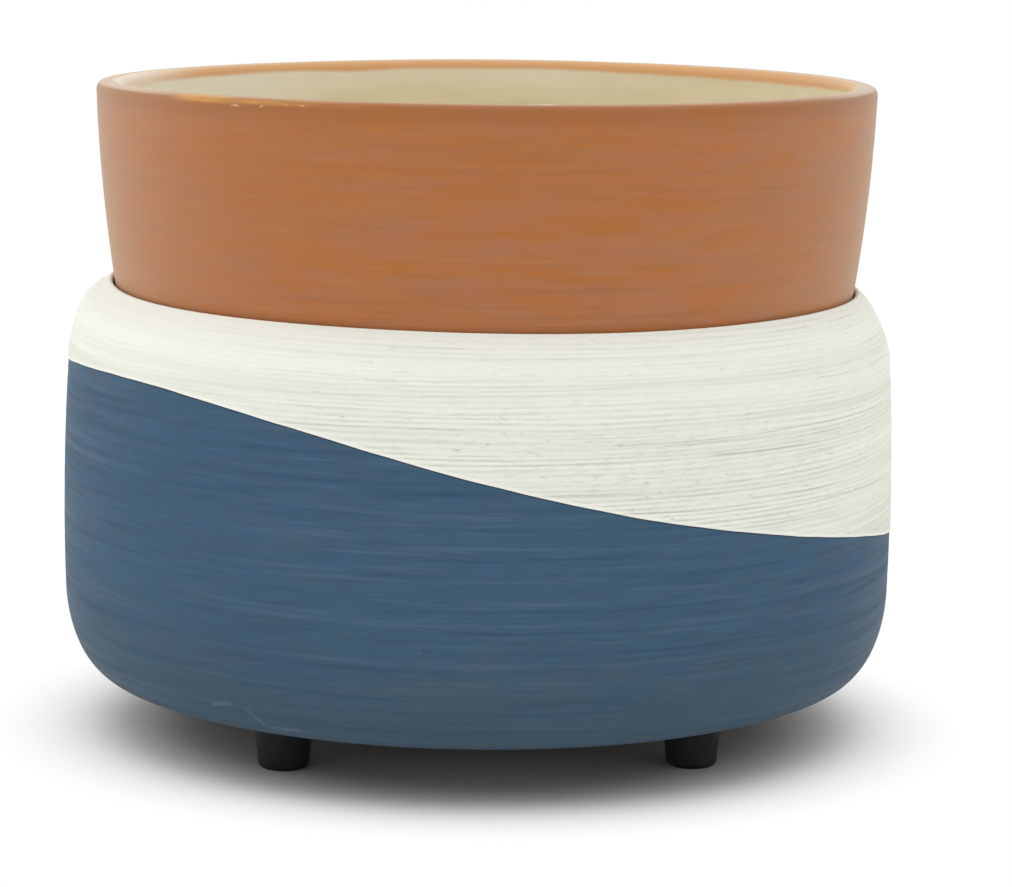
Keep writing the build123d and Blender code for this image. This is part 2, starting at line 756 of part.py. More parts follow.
def terminal_clamps():
    """The brass tubes inside the block, one for each pole, with their screw holes."""
    length = block_depth - 2 * pole_recess
    clamps = []
    for x in poles:
        start = Plane((x, block_front_y + pole_recess, pole_z), x_dir=(1, 0, 0), z_dir=(0, 1, 0))
        tube = start * extrude(Circle(pole_radius) - Circle(pole_bore_radius), amount=length)
        for y in block_screw_rows:
            tube -= disc(block_screw_radius + thread_clearance, pole_z, pole_z + pole_radius + overrun, x, y)
        clamps.append(tube)
    return Compound(children=clamps)


def terminal_screws():
    """The four screws that press on the leads in the brass tubes."""
    tip_z = pole_z + lead_radius + thread_clearance
    head_z = pole_z + pole_radius + hole_clearance
    screw = pan_screw(block_screw_radius, block_screw_head_radius, block_screw_head_height, head_z - tip_z)
    places = [(x, y) for x in poles for y in block_screw_rows]
    return at_places(Rot(180, 0, 0) * screw, places, head_z)


def terminal_mount_screw():
    """The screw that holds the block on the cover."""
    length = block_seat_z - mount_screw_tip_z
    screw = pan_screw(sheet_screw_radius, sheet_screw_head_radius, sheet_screw_head_height, length)
    return Pos(0, block_middle_y, block_seat_z) * Rot(180, 0, 0) * screw


def lead_live():
    """From the block's left pole up to the thermostat."""
    x = -blade_pitch / 2
    return lead(
        (poles[0], block_entry_y, pole_z),
        (poles[0], block_entry_y - lead_stub, pole_z),
        (x, thermostat_y, spade_mouth_z - lead_stub),
        (x, thermostat_y, spade_mouth_z + lead_insertion),
    )


def lead_thermostat_fuse():
    """From the thermostat, round the rod, to the right end of the fuse."""
    x = blade_pitch / 2
    return lead(
        (x, thermostat_y, spade_mouth_z + lead_insertion),
        (x, thermostat_y, spade_mouth_z - lead_stub),
        *in_cavity(thermostat_fuse_shares),
        (splice_end + lead_stub / 2, fuse_y, fuse_z),
        (splice_end - lead_insertion, fuse_y, fuse_z),
    )


def barrel_entry(x, side):
    """The mouth of a ring terminal's barrel, and a point inside it."""
    reach = post_radius + thread_clearance + ring_terminal_width + barrel_length
    z = bush_bottom_z - barrel_radius
    mouth = x + side * reach
    return (mouth, post_y, z), (mouth - side * lead_insertion, post_y, z)


def lead_fuse_heater():
    """From the left end of the fuse, in a loop, to the left post."""
    mouth, inside = barrel_entry(posts[0][0], -1)
    return lead(
        (-splice_end + lead_insertion, fuse_y, fuse_z),
        (-splice_end - lead_stub / 2, fuse_y, fuse_z),
        (-splice_end - lead_stub, (fuse_y + post_y) / 2, fuse_z - lead_stub / 2),
        (mouth[0] - lead_stub / 2, post_y, mouth[2]),
        inside,
    )


def lead_neutral():
    """From the right post, round the cavity's right side, to the block's right pole."""
    mouth, inside = barrel_entry(posts[1][0], 1)
    return lead(
        inside,
        (mouth[0] + lead_stub / 2, post_y, mouth[2]),
        *in_cavity(neutral_shares),
        (poles[1], block_entry_y - lead_stub, pole_z),
        (poles[1], block_entry_y, pole_z),
    )


def inlet_grommet():
    """The bush in the rear wall: a flange outside, a neck through the wall and a lock ring inside."""
    along_y = Plane((0, 0, inlet_z), x_dir=(1, 0, 0), z_dir=(0, 1, 0))
    start = inlet_lock_y - thread_clearance - inlet_lock_thickness
    end = inlet_seat_y + inlet_flange_thickness
    lock = Pos(0, 0, start) * extrude(Circle(inlet_lock_radius), amount=inlet_lock_thickness)
    neck = Pos(0, 0, start) * extrude(Circle(inlet_neck_radius), amount=end - start)
    flange = Pos(0, 0, inlet_seat_y) * extrude(Circle(inlet_flange_radius), amount=inlet_flange_thickness)
    flange = fillet(flange.edges().group_by(Axis.Z)[-1], inlet_edge)
    bore = Pos(0, 0, start - overrun) * extrude(Circle(inlet_bore_radius), amount=end - start + 2 * overrun)
    return along_y * (lock + neck + flange - bore)


def rating_label():
    """A blank foil label under the cover."""
    label = extrude(RectangleRounded(label_width, label_depth, label_corner), amount=label_thickness)
    return Pos(0, label_y, cover_bottom_z - label_thickness) * label


def washer_under(top, radius):
    """A washer on the rod, below a given height."""
    return ring(radius, thread_bore + thread_clearance, top - washer_thickness, top)


def thermostat_screws():
    """The two screws through the thermostat's ears."""
    length = thermostat_ear_thickness + clamp_thickness + screw_tip
    screw = pan_screw(sheet_screw_radius, sheet_screw_head_radius, sheet_screw_head_height, length)
    return at_places(screw, thermostat_screw_places, ear_bottom_z)


def fuse_clip_screw():
    """The screw through the clip's foot."""
    length = clip_thickness + clamp_thickness + screw_tip
    screw = pan_screw(clip_screw_radius, clip_screw_head_radius, clip_screw_head_height, length)
    return at_places(screw, clip_screw_places, clamp_bottom_z - clip_thickness)


def foot_screws():
    """The screws up through the feet into the cover's bosses."""
    length = foot_screw_tip_z - foot_screw_head_z
    screw = pan_screw(foot_screw_radius, foot_screw_head_radius, foot_screw_head_height, length)
    return at_places(screw, feet.values(), foot_screw_head_z)


def foot_washers():
    """A washer in each foot, between the rubber and the screw's head."""
    bore = foot_screw_radius + thread_clearance
    washer = ring(foot_screw_head_radius, bore, foot_screw_head_z, foot_recess_depth)
    return at_places(washer, feet.values(), 0)


def rod_nut(top):
    """A nut on the rod, below a washer that hangs under a given height."""
    return hex_nut(nut_flats, thread_bore, top - washer_thickness - nut_height, nut_height)


parts = {
    "base_shell": base_shell(),
    "dish": dish(),
    "hot_plate": hot_plate(),
    "plate_gasket": plate_gasket(),
    "mica_upper": mica_disc(foil_top_z, plate_bottom_z, post_head_radius + hole_clearance),
    "heating_foil": heating_foil(),
    "mica_lower": mica_disc(pad_top_z, foil_bottom_z, post_radius + thread_clearance),
    "insulation_pad": insulation_pad(),
    "clamp_plate": clamp_plate(),
    "heater_posts": heater_posts(),
    "post_bushes": post_bushes(),
    "ring_terminals": ring_terminals(),
    "post_nuts": post_nuts(),
    "spring_washer": ring(spring_radius, thread_bore + hole_clearance, bridge_top_z, clamp_bottom_z),
    "retaining_bridge": retaining_bridge(),
    "plate_washer": washer_under(bridge_bottom_z, washer_radius),
    "plate_nut": rod_nut(bridge_bottom_z),
    "centre_rod": centre_rod(),
    "thermostat_cap": thermostat_cap(),
    "thermostat_body": thermostat_body(),
    "thermostat_terminals": thermostat_terminals(),
    "thermostat_screws": thermostat_screws(),
    "spade_connectors": spade_connectors(),
    "thermal_fuse": thermal_fuse(),
    "fuse_sleeve": fuse_sleeve(),
    "fuse_clip": fuse_clip(),
    "fuse_clip_screw": fuse_clip_screw(),
    "fuse_splices": fuse_splices(),
    "terminal_block": terminal_block(),
    "terminal_clamps": terminal_clamps(),
    "terminal_screws": terminal_screws(),
    "terminal_mount_screw": terminal_mount_screw(),
    "lead_live": lead_live(),
    "lead_thermostat_fuse": lead_thermostat_fuse(),
    "lead_fuse_heater": lead_fuse_heater(),
    "lead_neutral": lead_neutral(),
    "inlet_grommet": inlet_grommet(),
    "bottom_cover": bottom_cover(),
    "cover_washer": washer_under(cover_bottom_z, cover_washer_radius),
    "cover_nut": rod_nut(cover_bottom_z),
    "rating_label": rating_label(),
    "foot_washers": foot_washers(),
    "foot_screws": foot_screws(),
}
for name, (x, y) in feet.items():
    parts[name] = Pos(x, y, 0) * foot()

os.makedirs("parts", exist_ok=True)
for name, solid in parts.items():
    export_step(solid, f"parts/{name}.step")
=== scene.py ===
import bpy
import json
import math
import numpy as np
from mathutils import Matrix, Vector


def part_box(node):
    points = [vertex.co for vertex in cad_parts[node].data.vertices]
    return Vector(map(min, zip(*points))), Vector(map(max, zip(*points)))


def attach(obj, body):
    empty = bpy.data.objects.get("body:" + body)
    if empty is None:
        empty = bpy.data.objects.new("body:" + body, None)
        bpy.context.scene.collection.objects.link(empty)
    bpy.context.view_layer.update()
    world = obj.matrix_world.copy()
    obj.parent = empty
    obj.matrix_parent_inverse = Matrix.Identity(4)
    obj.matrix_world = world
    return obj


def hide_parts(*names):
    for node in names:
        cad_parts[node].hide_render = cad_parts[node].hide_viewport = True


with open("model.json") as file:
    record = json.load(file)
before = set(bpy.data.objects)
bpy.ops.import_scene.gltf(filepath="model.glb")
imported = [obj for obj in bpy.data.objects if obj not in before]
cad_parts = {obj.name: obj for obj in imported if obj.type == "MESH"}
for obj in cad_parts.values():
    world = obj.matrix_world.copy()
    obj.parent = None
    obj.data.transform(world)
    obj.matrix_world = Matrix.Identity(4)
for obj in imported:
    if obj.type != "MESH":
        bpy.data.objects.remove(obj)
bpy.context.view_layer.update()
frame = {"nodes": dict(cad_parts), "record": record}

# Sizes are in millimetres, scaled to metres by MM. Heights ending in _z are above the floor, and
# azimuths start at the front and turn to the right
MM = 0.001
X, Y, Z = 0, 1, 2

# Camera: the photograph's viewpoint, a little to the left of straight on
image_width = 1012
focal_px = 3494.8
sensor_mm = 36.0
camera_place = Vector((-40.13, -585.7, 144.16)) * MM
camera_turn = 0.0764
camera_pitch = 0.1629
camera_roll = 0.014

# Lamps: name, place, height aimed at, width and height, all in metres, and power in watts
lamps = [
    ("overhead", (-0.05, -0.05, 0.75), 0.05, (0.7, 0.7), 0.65),
    ("front_left", (-0.7, -0.85, 0.45), 0.06, (0.9, 0.9), 1.13),
    ("left", (-0.95, 0.4, 0.35), 0.06, (0.6, 0.9), 1.7),
    ("right", (0.95, -0.3, 0.4), 0.06, (0.6, 0.7), 0.6),
]
world_strength = 0.875

# Floor: the painted shadow, a darker patch under the object, and the fade into white, in metres from the
# middle
floor_stretch = (0.985, 1.03, 0)
painted_shadow_patch = (0.044, 0.07)
white_fade = (0.057, 0.084)
floor_half = 3.0

# Base shell, outside
body_radius = 70.0
foot_curve_width = 8.0
foot_curve_height = 15.6
foot_curve_turn = 87.0
lip_wall_radius = 69.24
lip_wall_z = 63.47
lip_corner_z = 75.55
lip_reach = 0.55
lip_edge = 0.5
glaze_setback = 0.02

# Where the shell isn't round: the lip stands to the right and sags at the front, and the
# shoulder rises at the left
lip_offset = 0.68
lip_offset_low_z = 70.0
lip_sag = 0.36
lip_sag_low_z = 64.0
lip_sag_azimuth_deg = 14.9
left_rise = 1.75
left_rise_azimuth_deg = -105.0
left_rise_low_z = 65.5
left_rise_full_z = 70.2
crest_rise_share = 0.58
crest_rise_low_z = 71.5
uneven_spread_deg = 29.8

# Base shell, inside
shell_wall = 4.7
well_lip_height = 3.0
ledge_radius = 49.0
ledge_bottom_z = 64.5
cavity_top_round = 8.0
cavity_foot_inset = 6.8
cavity_foot_height = 10.0
shelf_height = 3.0
opening_radius = 54.0
cover_thickness = 2.2

# Cord inlet in the rear wall
inlet_clearance = 0.3
inlet_flange_lip = 2.7
inlet_flange_thickness = 1.6
inlet_lock_gap = 1.3
inlet_lock_lip = 1.5
inlet_lock_room = 6.0
inlet_overrun = 3.0
inlet_sides = 64

# The line where the white glaze ends over the blue one: its mean height, what each harmonic of
# the azimuth adds as a cosine and a sine, and its tremble as harmonic, size and phase
line_height = 50.1
line_waves = [(1.2, -15.2), (2.2, 0.2), (-1.6, -0.8)]
line_tremble = [(13, 0.03, 0.4), (29, 0.02, 1.9), (53, 0.015, 2.6)]
white_thickness = 0.13
white_edge = 0.22

# Relief: depths of the glazes' marks, their share inside the dish, the margin in which they fade,
# how much a scratch may climb, the groove depths taken as full, and a distance taken as far
comb_depth = 0.03
hollow_depth = 0.04
brush_depth = 0.012
brush_wave_depth = 0.015
inner_mark_share = 0.5
relief_margin = 1.5
scratch_drift = 0.4
full_white_groove = 0.09
full_blue_groove = 0.07
far_away = 99.0

# Dish
dish_flare = 3.54
dish_side_gap = 1.4
dish_offset = 0.75
dish_bow = 0.6
dish_wall = 4.5
dish_floor = 5.0
dish_lip_height = 1.8
dish_lip_power = 3.0
dish_foot_round = 3.0
dish_bowl_round = 9.0
foot_ring_width = 10.7
foot_ring_height = 0.6

# The rim droops on the left, least at the front and most at the back, and ripples all round
rim_droop = 0.44
rim_droop_blend = 0.04
rim_droop_side = 0.6
rim_droop_back = 0.45
rim_droop_start = 6.0
rim_ripple = 0.1
rim_ripples = 9

# Small marks, by azimuth in degrees and height: rubs above the left foot as start, end and half
# width, specks, how far the dish's side swells at them, and glints on its crest
foot_rubs = [
    ((-41.4, 14.4), (-38.0, 15.3), 0.2),
    ((-35.6, 14.7), (-34.6, 13.4), 0.1),
    ((-34.6, 13.4), (-33.3, 11.9), 0.1),
    ((-32.4, 11.6), (-28.4, 12.0), 0.3),
]
rub_fuzz = 0.4
shell_speck = (-11.0, 26.7)
dish_specks = [(34.5, 89.0), (61.0, 84.5), (52.5, 76.5), (-66.0, 96.0), (118.0, 92.0), (-140.0, 86.0)]
speck_swell = 0.3
glint_azimuths_deg = [2.8, 4.2, 5.6]

# Mesh counts and spacings: near_line is how far from the glaze line its rows of points are
shell_columns = 256
blue_rows = 100
white_rows = 170
near_line = [0.02, 0.1, 0.22, 0.4]
line_row_gap = 0.4
outline_step = 0.1
dish_columns = 320
wall_rows = 150
sharp_angle_deg = 38

rng = np.random.default_rng(7)


def srgb(red, green, blue):
    """A colour given as 0 to 255 on screen, as linear light with full alpha."""
    shares = [value / 255 for value in (red, green, blue)]
    linear = [s / 12.92 if s <= 0.04045 else ((s + 0.055) / 1.055) ** 2.4 for s in shares]
    return (*linear, 1.0)


def corners(node):
    """A CAD node's lowest and highest corners, in millimetres."""
    low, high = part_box(node)
    return low / MM, high / MM


shell_low, shell_high = corners("base_shell")
dish_low, dish_high = corners("dish")
gasket_low, _ = corners("plate_gasket")
cover_low, _ = corners("bottom_cover")
grommet_low, grommet_high = corners("inlet_grommet")
cover_top_z = cover_low.z + cover_thickness
dish_foot_radius = dish_high.x - dish_flare
well_radius = dish_foot_radius + dish_side_gap


# Outlines, as points of radius and height


def ellipse_arc(centre, half_width, half_height, start, turn, steps):
    """Points on an ellipse, from an angle in degrees and through a turn."""
    angles = np.radians(start + turn * np.linspace(0, 1, steps + 1))
    across = centre[0] + half_width * np.cos(angles)
    return np.column_stack([across, centre[1] + half_height * np.sin(angles)])


def squared_arc(centre, half_width, height, power, steps):
    """Points over the top half of a superellipse, from its right end to its left one."""
    angles = np.linspace(0, math.pi, steps + 1)
    across = np.sign(np.cos(angles)) * np.abs(np.cos(angles)) ** (2 / power)
    up = np.sin(angles).clip(0) ** (2 / power)
    return np.column_stack([centre[0] + half_width * across, centre[1] + height * up])


def tangent_circle(start, direction, end):
    """Centre and signed radius of the circle that leaves start along direction and meets end."""
    chord = np.subtract(end, start)
    normal = np.array([-direction[1], direction[0]]) / np.hypot(*direction)
    radius = chord @ chord / (2 * chord @ normal)
    return np.array(start) + normal * radius, radius


def circle_arc(centre, start, end, steps):
    """Points on the shorter arc about centre, from start to end."""
    first = math.atan2(*(np.subtract(start, centre)[::-1]))
    last = math.atan2(*(np.subtract(end, centre)[::-1]))
    turn = (last - first + math.pi) % (2 * math.pi) - math.pi
    radius = math.dist(start, centre)
    return ellipse_arc(centre, radius, radius, math.degrees(first), math.degrees(turn), steps)


def turned(centre, point):
    """The direction of travel at a point of a circle, anticlockwise."""
    spoke = np.subtract(point, centre)
    return np.array([-spoke[1], spoke[0]])


def bowed(start, end, bow, steps):
    """Points on an arc from start to end that swells by bow to the right of its way."""
    start, end = np.array(start, float), np.array(end, float)
    chord = end - start
    half = np.hypot(*chord) / 2
    side = np.array([chord[1], -chord[0]]) / (2 * half)
    radius = (half**2 + bow**2) / (2 * abs(bow))
    centre = (start + end) / 2 + side * math.copysign(1, bow) * (abs(bow) - radius)
    return circle_arc(centre, start, end, steps)


def straight(*points, step=1.5):
    """Points along straight runs, about a step apart."""
    made = [np.array(points[0], float)[None]]
    for start, end in zip(points, points[1:]):
        count = max(1, round(math.dist(start, end) / step))
        made.append(np.linspace(start, end, count + 1)[1:])
    return np.vstack(made)


def distances(points):
    """How far along a line each of its points is."""
    steps = np.hypot(*np.diff(points, axis=0).T)
    return np.concatenate([[0], np.cumsum(steps)])


def spread_evenly(points, spacing):
    """The same line with points at an even spacing, and the distance along it at each."""
    along = distances(points)
    at = np.linspace(0, along[-1], max(2, round(along[-1] / spacing)))
    return np.column_stack([np.interp(at, along, points[:, k]) for k in (0, 1)]), at


def outward(points):
    """The direction to the right of the way at each point of a line."""
    way = np.gradient(points, axis=0)
    way /= np.hypot(*way.T)[:, None]
    return np.column_stack([way[:, 1], -way[:, 0]])


# Relief


def fade(t):
    """A share from 0 to 1, eased at both ends."""
    return t * t * (3 - 2 * t)


def rising(value, low, high):
    """Zero up to low and one from high on, with a smooth step between."""
    return fade(np.clip((value - low) / (high - low), 0, 1))


def value_noise(rows, columns, u, v):
    """Smooth noise from 0 to 1, where u runs once through the rows and v once round the columns."""
    grid = rng.random((rows + 1, columns))
    x = np.clip(u, 0, 1) * rows
    row = np.minimum(x.astype(int), rows - 1)
    y = (v % 1) * columns
    column = y.astype(int) % columns
    after = (column + 1) % columns
    across = fade(y - np.floor(y))
    here = grid[row, column] * (1 - across) + grid[row, after] * across
    above = grid[row + 1, column] * (1 - across) + grid[row + 1, after] * across
    return here + (above - here) * fade(x - row)


def scratches(z, azimuth, count, heights, widths, depths, lengths_deg):
    """Long shallow grooves that run round the pot, each fading out at its ends."""
    depth = np.zeros_like(z)
    for _ in range(count):
        middle_z = rng.uniform(*heights)
        middle = rng.uniform(-math.pi, math.pi)
        width = rng.uniform(*widths)
        deep = rng.uniform(*depths)
        half = math.radians(rng.uniform(*lengths_deg))
        slope = rng.uniform(-scratch_drift, scratch_drift)
        away = (azimuth - middle + math.pi) % (2 * math.pi) - math.pi
        ends = fade(np.clip((1 - np.abs(away) / half) * 3, 0, 1))
        height = z - middle_z - slope * away / half
        depth = np.maximum(depth, deep * ends * np.exp(-((height / width) ** 2)))
    return depth


# Meshes


def placed(name, data):
    """A new object in the scene."""
    made = bpy.data.objects.new(name, data)
    bpy.context.scene.collection.objects.link(made)
    return made


def grid_faces(rows, columns, close_rows):
    """Quads of a grid that is closed round its columns, and along its rows if asked."""
    row = np.arange(rows if close_rows else rows - 1)
    column = np.arange(columns)
    r, c = np.meshgrid(row, column, indexing="ij")
    up, on = (r + 1) % rows, (c + 1) % columns
    quads = [r * columns + c, r * columns + on, up * columns + on, up * columns + c]
    return np.stack(quads, axis=-1).reshape(-1, 4)


def make_mesh(name, vertices, faces, face_materials, materials, attributes):
    """A smooth-shaded mesh object, from points in millimetres."""
    mesh = bpy.data.meshes.new(name)
    mesh.from_pydata((np.asarray(vertices) * MM).tolist(), [], [list(face) for face in faces])
    mesh.polygons.foreach_set("material_index", np.asarray(face_materials, np.int32))
    for material in materials:
        mesh.materials.append(material)
    for key, values in attributes.items():
        attribute = mesh.attributes.new(key, "FLOAT", "POINT")
        attribute.data.foreach_set("value", np.asarray(values, np.float32))
    mesh.validate()
    mesh.polygons.foreach_set("use_smooth", np.ones(len(mesh.polygons), bool))
    mesh.set_sharp_from_angle(angle=math.radians(sharp_angle_deg))
    mesh.update()
    return placed(name, mesh)


def around(radius, z, azimuth):
    """Points at radii and heights, at azimuths that start at the front and turn to the right."""
    x, y = radius * np.sin(azimuth), -radius * np.cos(azimuth)
    return np.stack([x, y, np.broadcast_to(z, radius.shape)], axis=-1)


# Materials. Noise scales are per metre along X, Y and Z, and shades are 0 to 255 on screen


class Nodes:
    """A material's node tree, with short calls for the nodes used here."""

    def __init__(self, name):
        self.material = bpy.data.materials.new(name)
        self.material.use_nodes = True
        self.tree = self.material.node_tree
        self.tree.nodes.clear()
        self.output = self.node("OutputMaterial")
        self.place = self.node("TexCoord").outputs["Object"]

    def put(self, socket, value):
        """Links a socket to a node's output, or sets its value."""
        if isinstance(value, bpy.types.NodeSocket):
            self.tree.links.new(value, socket)
        elif value is not None:
            socket.default_value = value

    def node(self, kind, *values, operation=None, **named):
        """A new shader node, with its first sockets and its named ones linked or set."""
        made = self.tree.nodes.new("ShaderNode" + kind)
        if operation:
            made.operation = operation
        for socket, value in zip(made.inputs, values):
            self.put(socket, value)
        for key, value in named.items():
            self.put(made.inputs[key.replace("_", " ")], value)
        return made

    def math(self, operation, a, b=None, clamp=False):
        """One sum of two values."""
        made = self.node("Math", a, b, operation=operation)
        made.use_clamp = clamp
        return made.outputs[0]

    def times(self, *values):
        """Values multiplied together."""
        total = values[0]
        for value in values[1:]:
            total = self.math("MULTIPLY", total, value)
        return total

    def stretched(self, scale, shift=(0, 0, 0)):
        """Object coordinates times a scale for each axis."""
        return self.node("VectorMath", self.place, scale, shift, operation="MULTIPLY_ADD").outputs[0]

    def from_axis(self, scale):
        """The distance from the object's upright axis, with a scale for each axis."""
        return self.node("VectorMath", self.stretched(scale), operation="LENGTH").outputs["Value"]

    def noise(self, scale, shift=(0, 0, 0), detail=3, roughness=0.55, distortion=0.0):
        """Noise with its own scale for each axis."""
        settings = {"Scale": 1.0, "Detail": detail, "Roughness": roughness, "Distortion": distortion}
        return self.node("TexNoise", Vector=self.stretched(scale, shift), **settings).outputs[0]

    def ramp(self, value, low, high, to_low=0.0, to_high=1.0):
        """A smooth step of value between low and high."""
        made = self.node("MapRange", Value=value, From_Min=low, From_Max=high, To_Min=to_low, To_Max=to_high)
        made.interpolation_type = "SMOOTHSTEP"
        return made.outputs["Result"]

    def band(self, value, low, low_full, high_full, high):
        """One between the full limits, falling to zero at low and at high."""
        return self.times(self.ramp(value, low, low_full), self.ramp(value, high, high_full))

    def axis(self, index):
        """One of the object coordinates."""
        return self.node("SeparateXYZ", self.place).outputs[index]

    def across(self, index, low_mm, high_mm, to_low=0.0, to_high=1.0):
        """A smooth step between two places on an axis."""
        return self.ramp(self.axis(index), low_mm * MM, high_mm * MM, to_low, to_high)

    def comb(self, spacing_mm, wander, shift):
        """A wave up the pot, from -1 to 1, whose crests run round it and wander a little."""
        drift = self.noise((7, 7, 110), shift=shift)
        turn = self.math("MULTIPLY", self.axis(Z), 2 * math.pi / (spacing_mm * MM))
        return self.math("SINE", self.math("ADD", turn, self.math("MULTIPLY", drift, wander)))

    def mix(self, share, a, b):
        """One colour over another by a share."""
        made = self.node("Mix")
        made.data_type = "RGBA"
        self.put(made.inputs["Factor"], share)
        colours = [socket for socket in made.inputs if socket.type == "RGBA"]
        self.put(colours[0], a)
        self.put(colours[1], b)
        return [socket for socket in made.outputs if socket.type == "RGBA"][0]

    def over(self, colour, *coats):
        """Coats over a colour, one after another: each a shade, by the product of its shares."""
        for shade, *shares in coats:
            colour = self.mix(self.times(*shares), colour, srgb(*shade))
        return colour

    def clouded(self, shade, factor, lift, *shares):
        """A shade that grows darker or lighter, by the product of the shares."""
        colour = srgb(*shade)
        other = [min(1.0, part * factor + lift) for part in colour[:3]]
        return self.mix(self.times(*shares), colour, (*other, 1.0))

    def attribute(self, name):
        """A value that the mesh gives at each point."""
        made = self.node("Attribute")
        made.attribute_name = name
        return made.outputs["Fac"]

    def bump(self, height, distance_mm, strength, before=None):
        """A surface direction that follows a height, on top of an earlier one."""
        made = self.node("Bump", Height=height, Strength=strength, Distance=distance_mm * MM, Normal=before)
        return made.outputs[0]

    def surface(self, colour, roughness, normal, **settings):
        """The material, with constant settings on the shader's own sockets."""
        made = self.node("BsdfPrincipled", Base_Color=colour, Roughness=roughness, Normal=normal, **settings)
        self.tree.links.new(made.outputs[0], self.output.inputs["Surface"])
        return self.material

    def most(self, values):
        """The largest of several values."""
        total = values[0]
        for value in values[1:]:
            total = self.math("MAXIMUM", total, value)
        return total

    def spots(self, places, radius_mm, fuzz_mm):
        """One where the surface lies near any of the places, and zero elsewhere."""
        edges = []
        for place in places:
            away = self.node("VectorMath", self.place, place, operation="DISTANCE").outputs["Value"]
            edges.append(self.ramp(away, (radius_mm + fuzz_mm) * MM, (radius_mm - fuzz_mm) * MM))
        return self.most(edges)

    def stroke(self, start, end, radius_mm, fuzz_mm):
        """One near the straight line between two places, and zero elsewhere."""
        span = end - start
        offset = self.node("VectorMath", self.place, start, operation="SUBTRACT").outputs["Vector"]
        run = self.node("VectorMath", offset, span / span.length_squared, operation="DOT_PRODUCT")
        share = self.math("ADD", run.outputs["Value"], 0.0, clamp=True)
        nearest = self.node("VectorMath", span, operation="SCALE", Scale=share).outputs["Vector"]
        away = self.node("VectorMath", offset, nearest, operation="DISTANCE").outputs["Value"]
        return self.ramp(away, (radius_mm + fuzz_mm) * MM, radius_mm * 0.5 * MM)


def white_glaze():
    """Matt white glaze, combed round the pot, with painted shade in its grooves, painted highlight on its
    ridges and along its edge, and pinholes.
    """
    n = Nodes("white_glaze")
    groove = n.attribute("groove")
    from_line = n.attribute("from_line")
    bands = n.noise((8, 8, 380), detail=4, roughness=0.62)
    grain = n.noise((420, 420, 2000), roughness=0.65)
    # The comb marks and their painted shade and highlight are busiest low on the right and calm on the left
    patches = n.ramp(n.noise((14, 14, 60), shift=(9, 2, 4), detail=2), 0.36, 0.62, 0.55, 1.0)
    low = n.across(Z, 73, 56, 0.5, 1.0)
    right = n.across(X, -54, -16, 0.34, 1.0)
    far_right = n.across(X, 48, 66, 1.0, 0.6)
    busy = n.times(patches, low, right, far_right)
    broken = n.ramp(n.noise((110, 110, 600), shift=(5, 5, 2), detail=2), 0.36, 0.56, 0.25, 1.0)
    wide_share = n.ramp(n.noise((16, 16, 560), shift=(3, 1, 7), detail=2), 0.5, 0.62)
    fine_share = n.ramp(n.noise((20, 20, 420), shift=(8, 3, 2), detail=2), 0.38, 0.58, 0.3, 1.0)
    ridge = n.comb(0.78, 30, (6, 1, 9))
    # The comb grooves get painted shade and the ridges between them painted highlight, on top of their bumps
    wide = n.times(n.ramp(n.comb(1.45, 24, (1, 4, 2)), 0.86, 0.98), wide_share, broken, busy)
    fine = n.times(n.ramp(ridge, 0.1, 1.0), fine_share, broken, busy)
    light = n.times(n.ramp(ridge, -0.1, -1.0), fine_share, busy)
    pits = n.ramp(n.noise((500, 500, 1800), shift=(1, 8, 3), detail=1), 0.71, 0.8)
    colour = n.over(
        n.mix(n.ramp(bands, 0.34, 0.62), srgb(221, 223, 210), srgb(234, 235, 224)),
        ((238, 239, 230), n.across(Z, 64, 71), 0.75),
        ((194, 196, 182), n.ramp(grain, 0.5, 0.3), busy, 0.5),
        # Painted highlight on the ridges, then painted shade in the fine and wide comb grooves and in the
        # relief's grooves
        ((240, 242, 234), light, 0.6),
        ((195, 197, 183), fine, 0.75),
        ((168, 170, 156), wide, 0.7),
        ((206, 208, 195), n.ramp(groove, 0.25, 0.9), right, 0.2),
        ((140, 143, 131), pits, busy, 0.45),
        # Painted highlight on the raised edge of the white glaze, just above the line
        ((246, 246, 239), n.ramp(from_line, 0.7, 0.25), 0.6),
    )
    roughness = n.ramp(bands, 0.3, 0.7, 0.66, 0.54)
    normal = n.bump(bands, 0.08, 0.6)
    normal = n.bump(n.math("SUBTRACT", light, n.math("MAXIMUM", wide, fine)), 0.03, 0.6, normal)
    normal = n.bump(grain, 0.02, 0.5, normal)
    return n.surface(colour, roughness, normal, IOR=1.45)


